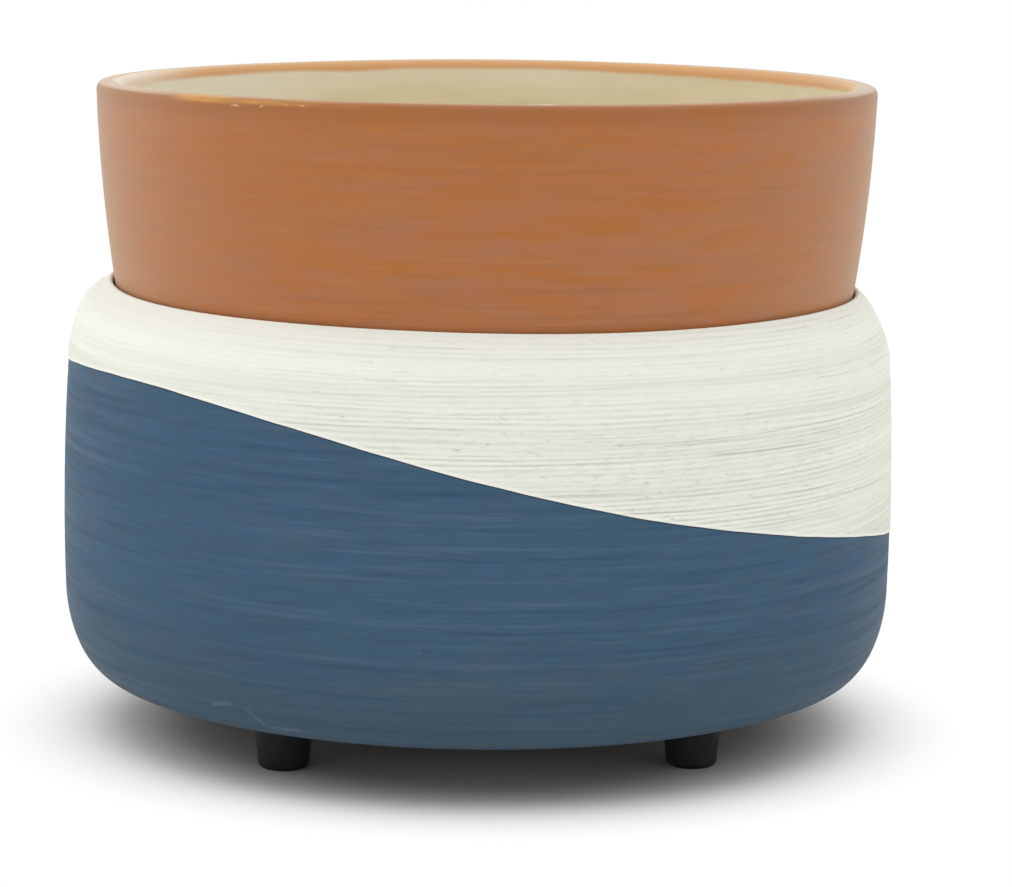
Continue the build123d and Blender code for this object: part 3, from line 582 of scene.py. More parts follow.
def blue_glaze():
    """Matt slate blue glaze with faint brush streaks, here bluer and there greyer, with painted shade in its
    grooves and a painted shadow under the white glaze's edge.
    """
    n = Nodes("blue_glaze")
    groove = n.attribute("groove")
    from_line = n.attribute("from_line")
    lines = n.noise((22, 22, 880), roughness=0.6)
    short = n.noise((90, 90, 1250), shift=(6, 2, 3), roughness=0.6)
    bluer = n.noise((140, 140, 420), shift=(2, 5, 1), detail=4, roughness=0.65)
    greyer = n.noise((120, 120, 460), shift=(7, 3, 9), detail=4, roughness=0.65)
    broad = n.noise((16, 16, 40), shift=(4, 4, 8), detail=2)
    calm = n.across(X, -62, -18, 0.55, 0.85)
    colour = n.over(
        n.mix(n.ramp(bluer, 0.4, 0.62), srgb(63, 88, 109), srgb(58, 90, 116)),
        ((72, 88, 103), n.ramp(greyer, 0.48, 0.64), calm, 0.5),
        ((59, 92, 112), n.ramp(broad, 0.36, 0.66), 0.35),
        ((38, 65, 91), n.ramp(lines, 0.5, 0.28), calm, 0.45),
        ((93, 112, 132), n.ramp(lines, 0.54, 0.74), calm, 0.4),
        ((40, 66, 92), n.ramp(short, 0.48, 0.28), calm, 0.34),
        ((91, 111, 131), n.ramp(short, 0.54, 0.74), calm, 0.3),
        ((65, 81, 92), n.across(Z, 36, 12), 0.55),
        # Painted shade in the relief's grooves, and a painted shadow just under the raised edge of the white
        # glaze
        ((44, 68, 92), n.ramp(groove, 0.2, 1.0), calm, 0.25),
        ((34, 42, 48), n.ramp(from_line, -0.3, -0.08), 0.85),
        ((138, 152, 162), foot_scuffs(n), 0.2),
        ((160, 174, 184), n.spots([surface_point(*shell_speck)], 0.16, 0.1), 0.6),
    )
    roughness = n.ramp(lines, 0.3, 0.7, 0.6, 0.5)
    normal = n.bump(short, 0.025, 0.5, n.bump(lines, 0.05, 0.5))
    return n.surface(colour, roughness, normal, IOR=1.4, Specular_IOR_Level=0.16)


def foot_scuffs(n):
    """Faint pale rubs low on the left of the front, above the foot."""
    rubs = [n.stroke(surface_point(*a), surface_point(*b), radius, rub_fuzz) for a, b, radius in foot_rubs]
    worn = n.ramp(n.noise((500, 500, 900), detail=2), 0.35, 0.6, 0.4, 1.0)
    return n.times(n.most(rubs), worn)


def bisque():
    """Unglazed pale clay with fine grains."""
    n = Nodes("bisque")
    grain = n.noise((1400, 1400, 1400), detail=4, roughness=0.7)
    cloud = n.noise((60, 60, 60), detail=2)
    colour = n.mix(n.ramp(grain, 0.3, 0.7), srgb(206, 196, 178), srgb(228, 221, 206))
    colour = n.over(colour, ((198, 180, 158), n.ramp(cloud, 0.4, 0.7), 0.3))
    return n.surface(colour, 0.85, n.bump(grain, 0.08, 0.5), IOR=1.4)


def dish_glaze():
    """Brushed terracotta glaze outside and over the rim, cream glaze inside, with painted highlight, sheen
    and reflection on the crest and painted light and shade in the bowl.
    """
    n = Nodes("dish_glaze")
    from_crest = n.attribute("from_crest")
    lines = n.noise((24, 24, 900), detail=4, roughness=0.62)
    short = n.noise((110, 110, 900), shift=(5, 9, 1), roughness=0.6)
    orange = n.noise((75, 75, 430), shift=(3, 6, 2), detail=4, roughness=0.62)
    mauve = n.noise((70, 70, 330), shift=(8, 1, 5), detail=4, roughness=0.62)
    broad = n.noise((20, 20, 45), shift=(2, 9, 6), detail=2)
    calm = n.across(X, -62, -18, 0.4, 1.0)
    clay = n.over(
        n.mix(n.times(n.ramp(orange, 0.44, 0.64), calm), srgb(168, 103, 53), srgb(172, 99, 32)),
        ((164, 104, 70), n.ramp(mauve, 0.46, 0.66), 0.65, calm),
        ((168, 101, 38), n.ramp(broad, 0.4, 0.66), 0.3),
        ((185, 118, 66), n.ramp(lines, 0.54, 0.74), 0.28, calm),
        ((136, 86, 38), n.ramp(lines, 0.48, 0.28), 0.28, calm),
        ((138, 87, 40), n.ramp(short, 0.48, 0.28), 0.2, calm),
        ((183, 117, 66), n.ramp(short, 0.54, 0.74), 0.2, calm),
    )
    # The crest: darker under it, with a painted highlight inside it and painted sheen at the back and at
    # both ends
    painted_sheen_place = n.most([n.across(Y, 10, 34), n.across(X, -44, -60), n.across(X, 48, 62)])
    clay = n.over(
        clay,
        ((150, 88, 34), n.band(from_crest, -6.0, -2.6, -2.0, -1.2), 0.6),
        ((227, 175, 120), n.ramp(from_crest, 0.2, 1.2), 0.75),
        ((216, 192, 170), n.band(from_crest, -2.2, -1.6, 0.6, 1.4), painted_sheen_place, 0.6),
        # A painted reflection on the inside of the crest's left end
        ((238, 222, 206), n.across(X, -46, -60), n.ramp(from_crest, 0.2, 1.4), 0.85),
    )
    # The bowl, which begins at an uneven line inside the crest
    edge = n.noise((34, 34, 60), shift=(5, 2, 2), detail=2, roughness=0.4)
    edge = n.math("ADD", from_crest, n.ramp(edge, 0.3, 0.7, -0.35, 0.35))
    cream = n.noise((40, 40, 160), shift=(6, 6, 1))
    bowl = n.over(
        n.mix(n.ramp(cream, 0.35, 0.68), srgb(213, 200, 165), srgb(224, 212, 179)),
        # Painted shade deeper in the bowl, and painted light on its left and just under the crest
        ((205, 190, 143), n.across(Z, dish_high.z, dish_high.z - 20), 0.6),
        ((238, 234, 220), n.across(X, -14, -54), 0.8),
        ((228, 220, 202), n.ramp(edge, 9.0, 4.0), n.across(X, 50, 10, 0.1, 1.0), 0.5),
    )
    # Wear, flecks and a glint along the front of the crest
    front = n.across(Y, -20, -30)
    streak = n.ramp(n.noise((45, 45, 700), shift=(9, 4, 4), roughness=0.6), 0.4, 0.56, 0.3, 1.0)
    worn_place = n.times(n.across(X, -52, -48), n.across(X, -18, -40), front)
    worn = n.times(worn_place, n.band(from_crest, -2.9, -2.2, -0.7, -0.1), streak)
    flecks = n.ramp(n.noise((300, 300, 1500), shift=(2, 7, 5), detail=2), 0.57, 0.66)
    fleck_place = n.times(n.across(X, -42.5, -40.5), n.across(X, -29.5, -32), front)
    fleck_band = n.band(from_crest, -3.1, -2.8, -2.4, -2.1)
    glint = n.spots(map(rim_point, glint_azimuths_deg), 1.0, 0.5)
    glint = n.times(glint, n.ramp(flecks, 0.0, 0.2, 0.4, 1.0))
    colour = n.over(
        n.mix(n.ramp(edge, 3.0, 3.9), clay, bowl),
        ((212, 148, 62), worn, 0.8),
        ((236, 212, 170), flecks, fleck_band, fleck_place, 0.7),
        ((245, 236, 214), glint, n.band(from_crest, -1.0, -0.6, 0.2, 0.6), 0.8),
        ((220, 198, 176), n.spots(map(dish_point, dish_specks), 0.14, 0.1), 0.6),
    )
    roughness = n.ramp(edge, 3.0, 3.9, 0.52, 0.34)
    normal = n.bump(short, 0.025, 0.5, n.bump(lines, 0.05, 0.5))
    sheen = {"Sheen_Weight": 0.3, "Sheen_Roughness": 0.45, "Sheen_Tint": (0.9, 1, 0.8, 1)}
    return n.surface(colour, roughness, normal, IOR=1.45, **sheen)


def rubber(name, shade, roughness):
    """Moulded rubber with a fine dull skin."""
    n = Nodes(name)
    skin = n.noise((900, 900, 900), detail=4, roughness=0.7)
    cloud = n.noise((120, 120, 120), shift=(3, 3, 3), detail=2)
    colour = n.clouded(shade, 1.7, 0.006, n.ramp(cloud, 0.4, 0.7), 0.5)
    rough = n.ramp(skin, 0.3, 0.7, roughness - 0.06, roughness + 0.1)
    return n.surface(colour, rough, n.bump(skin, 0.03, 0.5), Specular_IOR_Level=0.3)


def plastic(name, shade, roughness, spark):
    """Moulded plastic with a fine spark-eroded grain."""
    n = Nodes(name)
    grain = n.noise((spark, spark, spark), detail=2, roughness=0.5)
    cloud = n.noise((80, 80, 80), shift=(1, 4, 2), detail=2)
    colour = n.clouded(shade, 1.35, 0.004, n.ramp(cloud, 0.35, 0.7), 0.6)
    rough = n.ramp(grain, 0.3, 0.7, roughness - 0.05, roughness + 0.08)
    return n.surface(colour, rough, n.bump(grain, 0.05, 0.5))


def metal(name, shade, roughness, scale=(300, 300, 1800), dull=0.25):
    """Metal with fine tool marks and a few duller clouds."""
    n = Nodes(name)
    marks = n.noise(scale, roughness=0.6)
    cloud = n.noise((110, 110, 110), shift=(2, 2, 6))
    colour = n.clouded(shade, 1 - dull, 0, n.ramp(cloud, 0.35, 0.7))
    rough = n.ramp(marks, 0.3, 0.7, roughness - 0.08, roughness + 0.1)
    return n.surface(colour, rough, n.bump(marks, 0.02, 0.4), Metallic=1.0)


def turned_metal(name, shade, roughness):
    """A turned metal plate with rings about its middle."""
    n = Nodes(name)
    ring_place = n.node("CombineXYZ", n.from_axis((1, 1, 0))).outputs[0]
    rings = n.node("TexNoise", Vector=ring_place, Scale=2600.0, Detail=2.0).outputs[0]
    cloud = n.noise((40, 40, 40), detail=2)
    colour = n.clouded(shade, 0.93, 0, n.ramp(cloud, 0.35, 0.7))
    rough = n.ramp(rings, 0.3, 0.7, roughness - 0.06, roughness + 0.1)
    return n.surface(colour, rough, n.bump(rings, 0.03, 0.5), Metallic=1.0)


def fibrous(name, light, dark, scale, bump_mm):
    """Felted or woven fibre."""
    n = Nodes(name)
    fibres = n.noise(scale, detail=5, roughness=0.7, distortion=0.6)
    colour = n.mix(n.ramp(fibres, 0.3, 0.7), srgb(*dark), srgb(*light))
    return n.surface(colour, 0.9, n.bump(fibres, bump_mm, 0.6))


def translucent(name, shade, roughness):
    """Silicone or silicone insulation with a soft sheen."""
    n = Nodes(name)
    cloud = n.noise((160, 160, 160))
    colour = n.clouded(shade, 0.85, 0, n.ramp(cloud, 0.35, 0.7))
    rough = n.ramp(cloud, 0.3, 0.7, roughness - 0.05, roughness + 0.08)
    return n.surface(colour, rough, n.bump(cloud, 0.03, 0.4), Subsurface_Weight=0.15, Subsurface_Scale=0.001)


def slot_materials():
    """A material for each of the record's slots, apart from the two glazes."""
    return {
        "zinc_steel": metal("zinc_plate", (196, 200, 204), 0.36),
        "plate_aluminium": turned_metal("turned_aluminium", (216, 217, 219), 0.32),
        "silicone": translucent("silicone", (222, 218, 208), 0.45),
        "mica": fibrous("mica", (196, 186, 158), (160, 150, 122), (420, 420, 900), 0.05),
        "resistance_foil": metal("resistance_foil", (180, 172, 162), 0.4, (500, 500, 500)),
        "ceramic_fibre": fibrous("ceramic_fibre", (240, 238, 232), (214, 211, 203), (700, 700, 1500), 0.2),
        "brass": metal("brass", (206, 172, 98), 0.32, (400, 400, 2400)),
        "steatite": plastic("steatite", (234, 231, 222), 0.55, 900),
        "tinned_copper": metal("tinned_copper", (202, 202, 198), 0.3, (700, 700, 700)),
        "dark_plastic": plastic("phenolic", (52, 38, 32), 0.4, 500),
        "fuse_metal": metal("fuse_case", (206, 202, 192), 0.28, (1200, 300, 300)),
        "glass_sleeve": fibrous("glass_sleeve", (232, 228, 214), (196, 190, 172), (1500, 900, 900), 0.12),
        "pale_plastic": plastic("pale_nylon", (226, 223, 212), 0.48, 600),
        "silicone_lead": translucent("lead_silicone", (224, 224, 220), 0.42),
        "grommet_rubber": plastic("grommet", (26, 26, 27), 0.5, 900),
        "cover_plastic": plastic("cover_plastic", (32, 32, 33), 0.55, 1100),
        "label_foil": metal("label_foil", (204, 206, 208), 0.42, (2400, 160, 900), 0.12),
        "foot_rubber": rubber("foot_rubber", (16, 16, 17), 0.62),
    }


# Base shell, with its materials in this order
WHITE, BLUE, BARE = 0, 1, 2


def outer_outline():
    """The shell's outside from its bottom edge up to the lip, and the lip's round edge."""
    foot_centre = (body_radius - foot_curve_width, shell_low.z + foot_curve_height)
    foot = ellipse_arc(foot_centre, foot_curve_width, foot_curve_height, 270, foot_curve_turn, 60)
    end = math.radians(270 + foot_curve_turn)
    direction = (-foot_curve_width * math.sin(end), foot_curve_height * math.cos(end))
    wall_end = (lip_wall_radius, lip_wall_z)
    wall_centre, _ = tangent_circle(foot[-1], direction, wall_end)
    wall = circle_arc(wall_centre, foot[-1], wall_end, 80)
    lip_radius = well_radius - lip_reach
    corner = (lip_radius, lip_corner_z)
    centre, radius = tangent_circle(wall_end, turned(wall_centre, wall_end), corner)
    edge_x = lip_radius + lip_edge
    edge_z = centre[1] + math.sqrt((radius - lip_edge) ** 2 - (edge_x - centre[0]) ** 2)
    edge_centre = np.array([edge_x, edge_z])
    touch = centre + (edge_centre - centre) * radius / (radius - lip_edge)
    shoulder = circle_arc(centre, wall_end, touch, 60)
    edge = circle_arc(edge_centre, touch, (lip_radius, edge_z), 8)
    return np.vstack([foot, wall[1:], shoulder[1:]]), edge[1:]


def inner_outline(edge_end):
    """The shell's inside: glazed down the well, then bare through the cavity to the bottom edge."""
    cavity_radius = body_radius - shell_wall
    top_centre = (cavity_radius - cavity_top_round, ledge_bottom_z - cavity_top_round)
    shelf_z = cover_top_z + shelf_height
    foot_centre = (cavity_radius - cavity_foot_inset, shelf_z + cavity_foot_height)
    well_foot = (well_radius, gasket_low.z)
    ledge_end = (ledge_radius, gasket_low.z)
    well = straight(edge_end, (well_radius, edge_end[1] - well_lip_height), well_foot, step=0.8)
    ledge = straight(well_foot, ledge_end, step=3.5)
    drop = straight(ledge_end, (ledge_radius, ledge_bottom_z), (top_centre[0], ledge_bottom_z), step=4)
    top = ellipse_arc(top_centre, cavity_top_round, cavity_top_round, 90, -90, 8)
    foot = ellipse_arc(foot_centre, cavity_foot_inset, cavity_foot_height, 0, -90, 8)
    rebate_radius = opening_radius + shelf_height
    rest = straight(
        (opening_radius, shelf_z),
        (opening_radius, cover_top_z),
        (rebate_radius, cover_top_z),
        (rebate_radius, shell_low.z),
        (body_radius - foot_curve_width, shell_low.z),
        step=3,
    )
    glazed = np.vstack([well[1:], ledge[1:]])
    bare = np.vstack([drop[1:], top[1:], foot, rest[:-1]])
    return glazed, bare


def glaze_line(azimuth):
    """The height at which the white glaze ends, with a slight tremble of the brush."""
    height = np.full_like(azimuth, line_height)
    for order, (cosine, sine) in enumerate(line_waves, start=1):
        height += cosine * np.cos(order * azimuth) + sine * np.sin(order * azimuth)
    for order, size, phase in line_tremble:
        height += size * np.sin(order * azimuth + phase)
    return height


def lobe(azimuth, middle_deg, spread_deg):
    """One at the middle azimuth, falling away on both sides like a bell."""
    away = (azimuth - math.radians(middle_deg) + math.pi) % (2 * math.pi) - math.pi
    return np.exp(-((away / math.radians(spread_deg)) ** 2))


def shell_relief(z, azimuth):
    """Depth of the comb marks in the white glaze and of the brush marks in the blue one."""
    u = (z - shell_low.z) / (shell_high.z - shell_low.z)
    v = azimuth / (2 * math.pi)
    fine = value_noise(130, 26, u, v)
    broad = value_noise(46, 14, u, v)
    combed = scratches(z, azimuth, 90, (30, 74), (0.3, 0.8), (0.02, 0.06), (25, 110))
    white = comb_depth * fine**2 + hollow_depth * np.clip(broad - 0.5, 0, 1) + combed
    brushed = scratches(z, azimuth, 40, (12, 62), (0.18, 0.4), (0.01, 0.05), (12, 60))
    blue = brush_depth * fine + brush_wave_depth * broad + brushed
    return white, blue


def base_shell():
    """The glazed pot, with the edge of the white glaze as a real step along its line."""
    outer, edge = outer_outline()
    fine, along = spread_evenly(outer, outline_step)
    normals = outward(fine)
    azimuth = np.linspace(0, 2 * math.pi, shell_columns, endpoint=False)
    # Rows of points, by how far up the outline they are: those near the glaze line follow it
    split = np.interp(glaze_line(azimuth), fine[:, 1], along)
    low_share = np.linspace(0, 1, blue_rows)[:, None]
    high_share = np.linspace(0, 1, white_rows)[:, None]
    near = np.array(near_line)[:, None]
    white_first = split + near_line[-1] + line_row_gap
    blue_at = np.vstack([low_share * (split - near_line[-1] - line_row_gap), split - near[::-1]])
    white_at = np.vstack([split + near, white_first + (along[-1] - white_first) * high_share])
    at = np.vstack([blue_at, white_at])
    from_line = at - split
    radius = np.interp(at, along, fine[:, 0])
    z = np.interp(at, along, fine[:, 1])
    out_r = np.interp(at, along, normals[:, 0])
    out_z = np.interp(at, along, normals[:, 1])
    # The glazes' relief
    white, blue = shell_relief(z, np.broadcast_to(azimuth, z.shape))
    is_white = from_line > 0
    near_edge = np.clip(np.minimum(at, along[-1] - at) / relief_margin, 0, 1)
    round_edge = (1 - np.clip(from_line / white_edge, 0, 1)) ** 2 * white_thickness / 2
    depth = glaze_setback + np.where(is_white, white + round_edge, blue + white_thickness) * near_edge
    radius = radius - out_r * depth
    z = z - out_z * depth
    # The uneven lip and shoulder
    lip_dip = lip_sag * lobe(azimuth, lip_sag_azimuth_deg, uneven_spread_deg)
    lip_shift = lip_offset * np.sin(azimuth)
    rise = left_rise * lobe(azimuth, left_rise_azimuth_deg, uneven_spread_deg)
    crest_share = 1 - (1 - crest_rise_share) * rising(z, crest_rise_low_z, shell_high.z)
    lifted = rise * rising(z, left_rise_low_z, left_rise_full_z) * crest_share
    radius = radius + lip_shift * rising(z, lip_offset_low_z, edge[0][1])
    z = z - lip_dip * rising(z, lip_sag_low_z, shell_high.z) + lifted
    # The lip's edge, the well and the cavity
    glazed, bare = inner_outline(edge[-1])
    rest = np.vstack([edge, glazed, bare])
    rest_r = np.repeat(rest[:, :1], shell_columns, axis=1)
    rest_z = np.repeat(rest[:, 1:], shell_columns, axis=1)
    lip_share = rising(rest_z, lip_offset_low_z, edge[0][1])
    all_r = np.vstack([radius, rest_r + lip_shift * lip_share])
    all_z = np.vstack([z, rest_z + (lifted[-1] - lip_dip) * lip_share])
    rows = len(all_r)
    row_material = np.full(rows, BARE)
    row_material[: len(blue_at) - 1] = BLUE
    row_material[len(blue_at) - 1 : len(at) + len(edge) + len(glazed) - 1] = WHITE
    # The relief's depth, which the glazes use for painted shade in their grooves
    groove = np.where(is_white, white / full_white_groove, blue / full_blue_groove)
    groove = np.vstack([groove, np.zeros_like(rest_r)])
    from_line = np.vstack([from_line, np.full_like(rest_r, far_away)])
    shell = make_mesh(
        "glazed_shell",
        around(all_r, all_z, azimuth).reshape(-1, 3),
        grid_faces(rows, shell_columns, True),
        np.repeat(row_material, shell_columns),
        [white_glaze(), blue_glaze(), bisque()],
        {"groove": groove.ravel(), "from_line": from_line.ravel()},
    )
    return cut_inlet(shell)


def surface_point(azimuth_deg, z, radius=None):
    """A place on the shell's outside, or at a radius, in metres."""
    if radius is None:
        outer, _ = outer_outline()
        radius = np.interp(z, outer[:, 1], outer[:, 0])
    azimuth = math.radians(azimuth_deg)
    return Vector((radius * math.sin(azimuth) * MM, -radius * math.cos(azimuth) * MM, z * MM))


def cut_inlet(shell):
    """Cuts the seat, the hole and the lock room for the grommet into the rear wall."""
    middle_z = (grommet_low.z + grommet_high.z) / 2
    seat_radius = grommet_high.x + inlet_clearance
    hole_radius = seat_radius - inlet_flange_lip
    lock_radius = hole_radius + inlet_lock_lip
    seat_y = grommet_high.y - inlet_flange_thickness
    lock_y = body_radius - shell_wall - inlet_lock_gap
    outline = [
        (seat_radius, body_radius + inlet_overrun),
        (seat_radius, seat_y),
        (hole_radius, seat_y),
        (hole_radius, lock_y),
        (lock_radius, lock_y),
        (lock_radius, lock_y - inlet_lock_room),
    ]
    turn = np.linspace(0, 2 * math.pi, inlet_sides, endpoint=False)
    rings = []
    for radius, y in outline:
        ring_z = middle_z + radius * np.sin(turn)
        rings.append(np.column_stack([radius * np.cos(turn), np.full(inlet_sides, y), ring_z]))
    last = (len(rings) - 1) * inlet_sides
    faces = [list(face) for face in grid_faces(len(rings), inlet_sides, False)]
    faces.append(list(range(inlet_sides)))
    faces.append(list(range(last + inlet_sides - 1, last - 1, -1)))
    clay = [shell.data.materials[BARE]]
    cutter = make_mesh("inlet_cutter", np.vstack(rings), faces, [0] * len(faces), clay, {})
    modifier = shell.modifiers.new("inlet", "BOOLEAN")
    modifier.operation = "DIFFERENCE"
    modifier.solver = "EXACT"
    modifier.object = cutter
    shell = applied(shell)
    bpy.data.objects.remove(cutter)
    return shell


def applied(made):
    """Puts what an object's modifiers make into its mesh."""
    evaluated = made.evaluated_get(bpy.context.evaluated_depsgraph_get())
    mesh = bpy.data.meshes.new_from_object(evaluated)
    made.modifiers.clear()
    made.data = mesh
    return made


# Dish


def dish_outline():
    """The dish's section, in runs: underside, foot round, side, lip, inside, bowl round and floor."""
    floor_z = dish_low.z + dish_floor
    foot_radius = dish_foot_radius
    lip_low_z = dish_high.z - dish_lip_height
    ring_radius = foot_radius - dish_foot_round - foot_ring_width
    side = bowed((foot_radius, dish_low.z), (dish_high.x, lip_low_z), dish_bow, 200)
    inside = bowed((dish_high.x - dish_wall, lip_low_z), (foot_radius - dish_wall, floor_z), -dish_bow, 200)
    under = straight(
        (0, dish_low.z + foot_ring_height),
        (ring_radius, dish_low.z + foot_ring_height),
        (ring_radius + foot_ring_height, dish_low.z),
        (foot_radius - dish_foot_round, dish_low.z),
        step=2.2,
    )
    foot_round = rounded_corner(under[-1], side[0], side, dish_foot_round)
    side = side[side[:, 1] > foot_round[-1][1] + 0.05]
    side, _ = spread_evenly(np.vstack([foot_round[-1:], side]), (dish_high.z - dish_low.z) / wall_rows)
    lip_centre = (dish_high.x - dish_wall / 2, lip_low_z)
    lip = squared_arc(lip_centre, dish_wall / 2, dish_lip_height, dish_lip_power, 30)
    floor = straight((foot_radius - dish_wall, floor_z), (0, floor_z), step=2.2)
    bowl_round = rounded_corner(floor[1], floor[0], inside[::-1], dish_bowl_round)[::-1]
    inside = inside[inside[:, 1] > bowl_round[0][1] + 0.05]
    inside, _ = spread_evenly(np.vstack([inside, bowl_round[:1]]), 0.5)
    floor = floor[floor[:, 0] < bowl_round[-1][0] - 0.5]
    return under, foot_round[1:-1], side, lip[1:-1], inside, bowl_round[1:], floor


def rounded_corner(before, corner, after, radius):
    """The arc that rounds the corner between a flat run and a line that rises from the corner."""
    rise = after[min(60, len(after) - 1)] - corner
    rise /= np.hypot(*rise)
    flat = np.subtract(before, corner)
    flat /= np.hypot(*flat)
    half = math.acos(float(np.clip(rise @ flat, -1, 1))) / 2
    reach = radius / math.tan(half)
    middle = rise + flat
    centre = np.array(corner) + middle / np.hypot(*middle) * radius / math.sin(half)
    return circle_arc(centre, np.array(corner) + flat * reach, np.array(corner) + rise * reach, 14)


def dish():
    """The dish, with brush marks outside and an uneven crest."""
    runs = dish_outline()
    counts = [len(run) for run in runs]
    outline = np.vstack(runs)
    along = distances(outline)
    crest = along[sum(counts[:3]) + counts[3] // 2]
    azimuth = np.linspace(0, 2 * math.pi, dish_columns, endpoint=False)
    ring = outline[1:-1]
    radius = np.repeat(ring[:, :1], dish_columns, axis=1)
    z = np.repeat(ring[:, 1:], dish_columns, axis=1)
    turn = np.broadcast_to(azimuth, z.shape)
    # Brush marks, on the side and fainter on the bowl's inside
    u = (z - dish_low.z) / (dish_high.z - dish_low.z)
    v = turn / (2 * math.pi)
    marks = brush_depth * value_noise(110, 22, u, v) + brush_wave_depth * value_noise(34, 12, u, v)
    marks += scratches(z, turn, 34, (74, 107), (0.25, 0.6), (0.008, 0.03), (14, 80))
    depth = np.repeat([0, 0, 1, 0, inner_mark_share, 0, 0], counts)[1:-1, None] * marks
    # The uneven rim
    left = -np.sin(turn)
    one_side = left + np.sqrt(left**2 + rim_droop_blend)
    droop = rim_droop * one_side * (rim_droop_side - rim_droop_back * np.cos(turn))
    ripple = rim_ripple * value_noise(1, rim_ripples, np.zeros_like(v), v)
    sag = rising(z, dish_low.z + rim_droop_start, dish_high.z) * (droop + ripple)
    normals = outward(outline)[1:-1]
    radius = radius - normals[:, :1] * depth
    z = z - normals[:, 1:] * depth - sag
    points = around(radius, z, turn).reshape(-1, 3)
    low_pole = len(points)
    high_pole = low_pole + 1
    points = np.vstack([points, [0, 0, outline[0][1]], [0, 0, outline[-1][1]]]) + [dish_offset, 0, 0]
    rows = len(ring)
    top = (rows - 1) * dish_columns
    after = [(column + 1) % dish_columns for column in range(dish_columns)]
    faces = [list(face) for face in grid_faces(rows, dish_columns, False)]
    faces += [[low_pole, after[column], column] for column in range(dish_columns)]
    faces += [[high_pole, top + column, top + after[column]] for column in range(dish_columns)]
    from_crest = np.concatenate([np.repeat(along[1:-1] - crest, dish_columns), [-far_away, far_away]])
    # The underside up to its outer edge is bare, and so is its middle
    bare = np.repeat(np.arange(rows - 1) < counts[0] - 1, dish_columns)
    bare = np.concatenate([bare, np.repeat([True, False], dish_columns)])
    glazes = [dish_glaze(), bisque()]
    return make_mesh("glazed_dish", points, faces, bare, glazes, {"from_crest": from_crest})


def rim_point(azimuth_deg):
    """A place on the rim's crest."""
    return surface_point(azimuth_deg, dish_high.z, dish_high.x - dish_wall / 2)


def dish_point(place):
    """A place on the dish's side, from its azimuth and its height."""
    azimuth_deg, z = place
    share = (z - dish_low.z) / (dish_high.z - dish_low.z)
    return surface_point(azimuth_deg, z, dish_foot_radius + dish_flare * share + speck_swell)


# Stage


def make_camera():
    """The camera, fitted to the photograph."""
    data = bpy.data.cameras.new("camera")
    data.sensor_fit = "HORIZONTAL"
    data.sensor_width = sensor_mm
    data.lens = focal_px * sensor_mm / image_width
    data.clip_start = 0.01
    data.clip_end = 50
    turn, pitch, roll = camera_turn, camera_pitch, camera_roll
    right = Vector((math.cos(turn), -math.sin(turn), 0))
    ahead = Vector((math.sin(turn) * math.cos(pitch), math.cos(turn) * math.cos(pitch), -math.sin(pitch)))
    up = right.cross(ahead)
    across = math.cos(roll) * right + math.sin(roll) * up
    above = -math.sin(roll) * right + math.cos(roll) * up
    camera = placed("camera", data)
    rotation = Matrix((across, above, -ahead)).transposed()
    camera.matrix_world = Matrix.Translation(camera_place) @ rotation.to_4x4()
    bpy.context.scene.camera = camera


def area_light(name, place, target_z, size, power):
    """A rectangular lamp that faces a place on the object's axis."""
    data = bpy.data.lights.new(name, "AREA")
    data.shape = "RECTANGLE"
    data.size, data.size_y = size
    data.energy = power
    made = placed(name, data)
    made.location = place
    made.rotation_mode = "QUATERNION"
    made.rotation_quaternion = (Vector((0, 0, target_z)) - Vector(place)).to_track_quat("-Z", "Y")


def seen_directly(tree):
    """One for rays from the camera, and through or off shiny things."""
    path = tree.nodes.new("ShaderNodeLightPath")
    total = path.outputs["Is Camera Ray"]
    for key in ("Is Glossy Ray", "Is Transmission Ray"):
        node = tree.nodes.new("ShaderNodeMath")
        node.operation = "MAXIMUM"
        tree.links.new(total, node.inputs[0])
        tree.links.new(path.outputs[key], node.inputs[1])
        total = node.outputs[0]
    return total


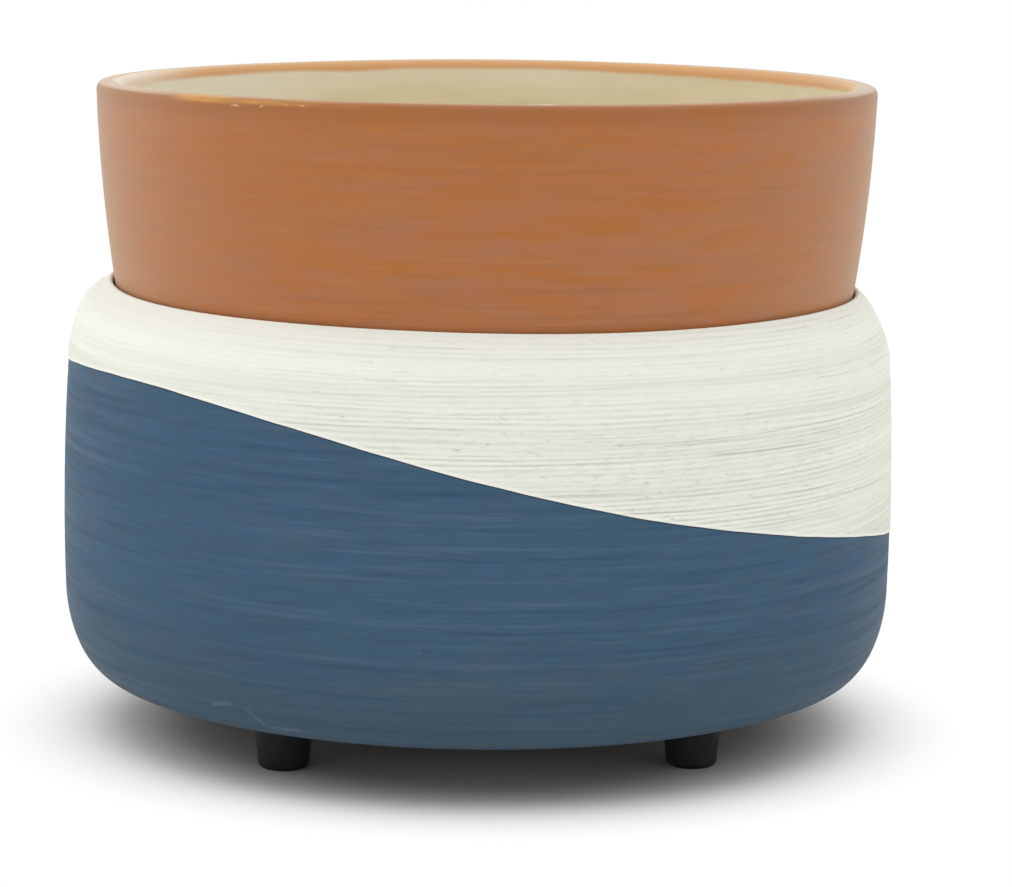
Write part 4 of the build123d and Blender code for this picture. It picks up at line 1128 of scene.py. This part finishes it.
def make_world():
    """A white backdrop that lights the object at a plain level."""
    world = bpy.data.worlds.new("studio")
    world.use_nodes = True
    tree = world.node_tree
    tree.nodes.clear()
    output = tree.nodes.new("ShaderNodeOutputWorld")
    mix = tree.nodes.new("ShaderNodeMixShader")
    tree.links.new(seen_directly(tree), mix.inputs[0])
    for socket, strength in zip(mix.inputs[1:], (world_strength, 1.0)):
        background = tree.nodes.new("ShaderNodeBackground")
        background.inputs["Color"].default_value = (1, 1, 1, 1)
        background.inputs["Strength"].default_value = strength
        tree.links.new(background.outputs[0], socket)
    tree.links.new(mix.outputs[0], output.inputs["Surface"])
    bpy.context.scene.world = world


def make_floor():
    """A pale floor with a painted shadow under the object, which keeps the real shadow too and fades into
    the white backdrop.
    """
    n = Nodes("floor")
    away = n.from_axis(floor_stretch)
    grain = n.noise((30, 30, 30), detail=2)
    colour = n.mix(n.ramp(grain, 0.3, 0.7), srgb(250, 250, 249), srgb(253, 253, 253))
    # Painted shadow: the floor's own colour is darker under the object
    colour = n.mix(n.ramp(away, *painted_shadow_patch), srgb(178, 175, 173), colour)
    paint = n.node("BsdfDiffuse", Color=colour).outputs[0]
    white = n.node("Emission", Color=(1, 1, 1, 1)).outputs[0]
    share = n.times(n.ramp(away, *white_fade), seen_directly(n.tree))
    blend = n.node("MixShader", share, paint, white).outputs[0]
    clear = n.node("BsdfTransparent").outputs[0]
    below = n.node("NewGeometry").outputs["Backfacing"]
    both = n.node("MixShader", below, blend, clear).outputs[0]
    n.put(n.output.inputs["Surface"], both)
    square = [(x * floor_half, y * floor_half, 0) for x, y in ((-1, -1), (1, -1), (1, 1), (-1, 1))]
    mesh = bpy.data.meshes.new("floor")
    mesh.from_pydata(square, [], [(0, 1, 2, 3)])
    mesh.materials.append(n.material)
    floor = placed("floor", mesh)


make_camera()
make_world()
make_floor()
for lamp in lamps:
    area_light(*lamp)

shell = base_shell()
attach(shell, "base")
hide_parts("base_shell")

bowl = dish()
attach(bowl, "dish")
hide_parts("dish")

materials = slot_materials()
slots = {part["node"]: part["material_slot"] for part in frame["record"]["subparts"]}
for name, node in frame["nodes"].items():
    material = materials.get(slots[name])
    if material is not None:
        node.data.materials.clear()
        node.data.materials.append(material)

bpy.context.scene.view_settings.view_transform = "Standard"
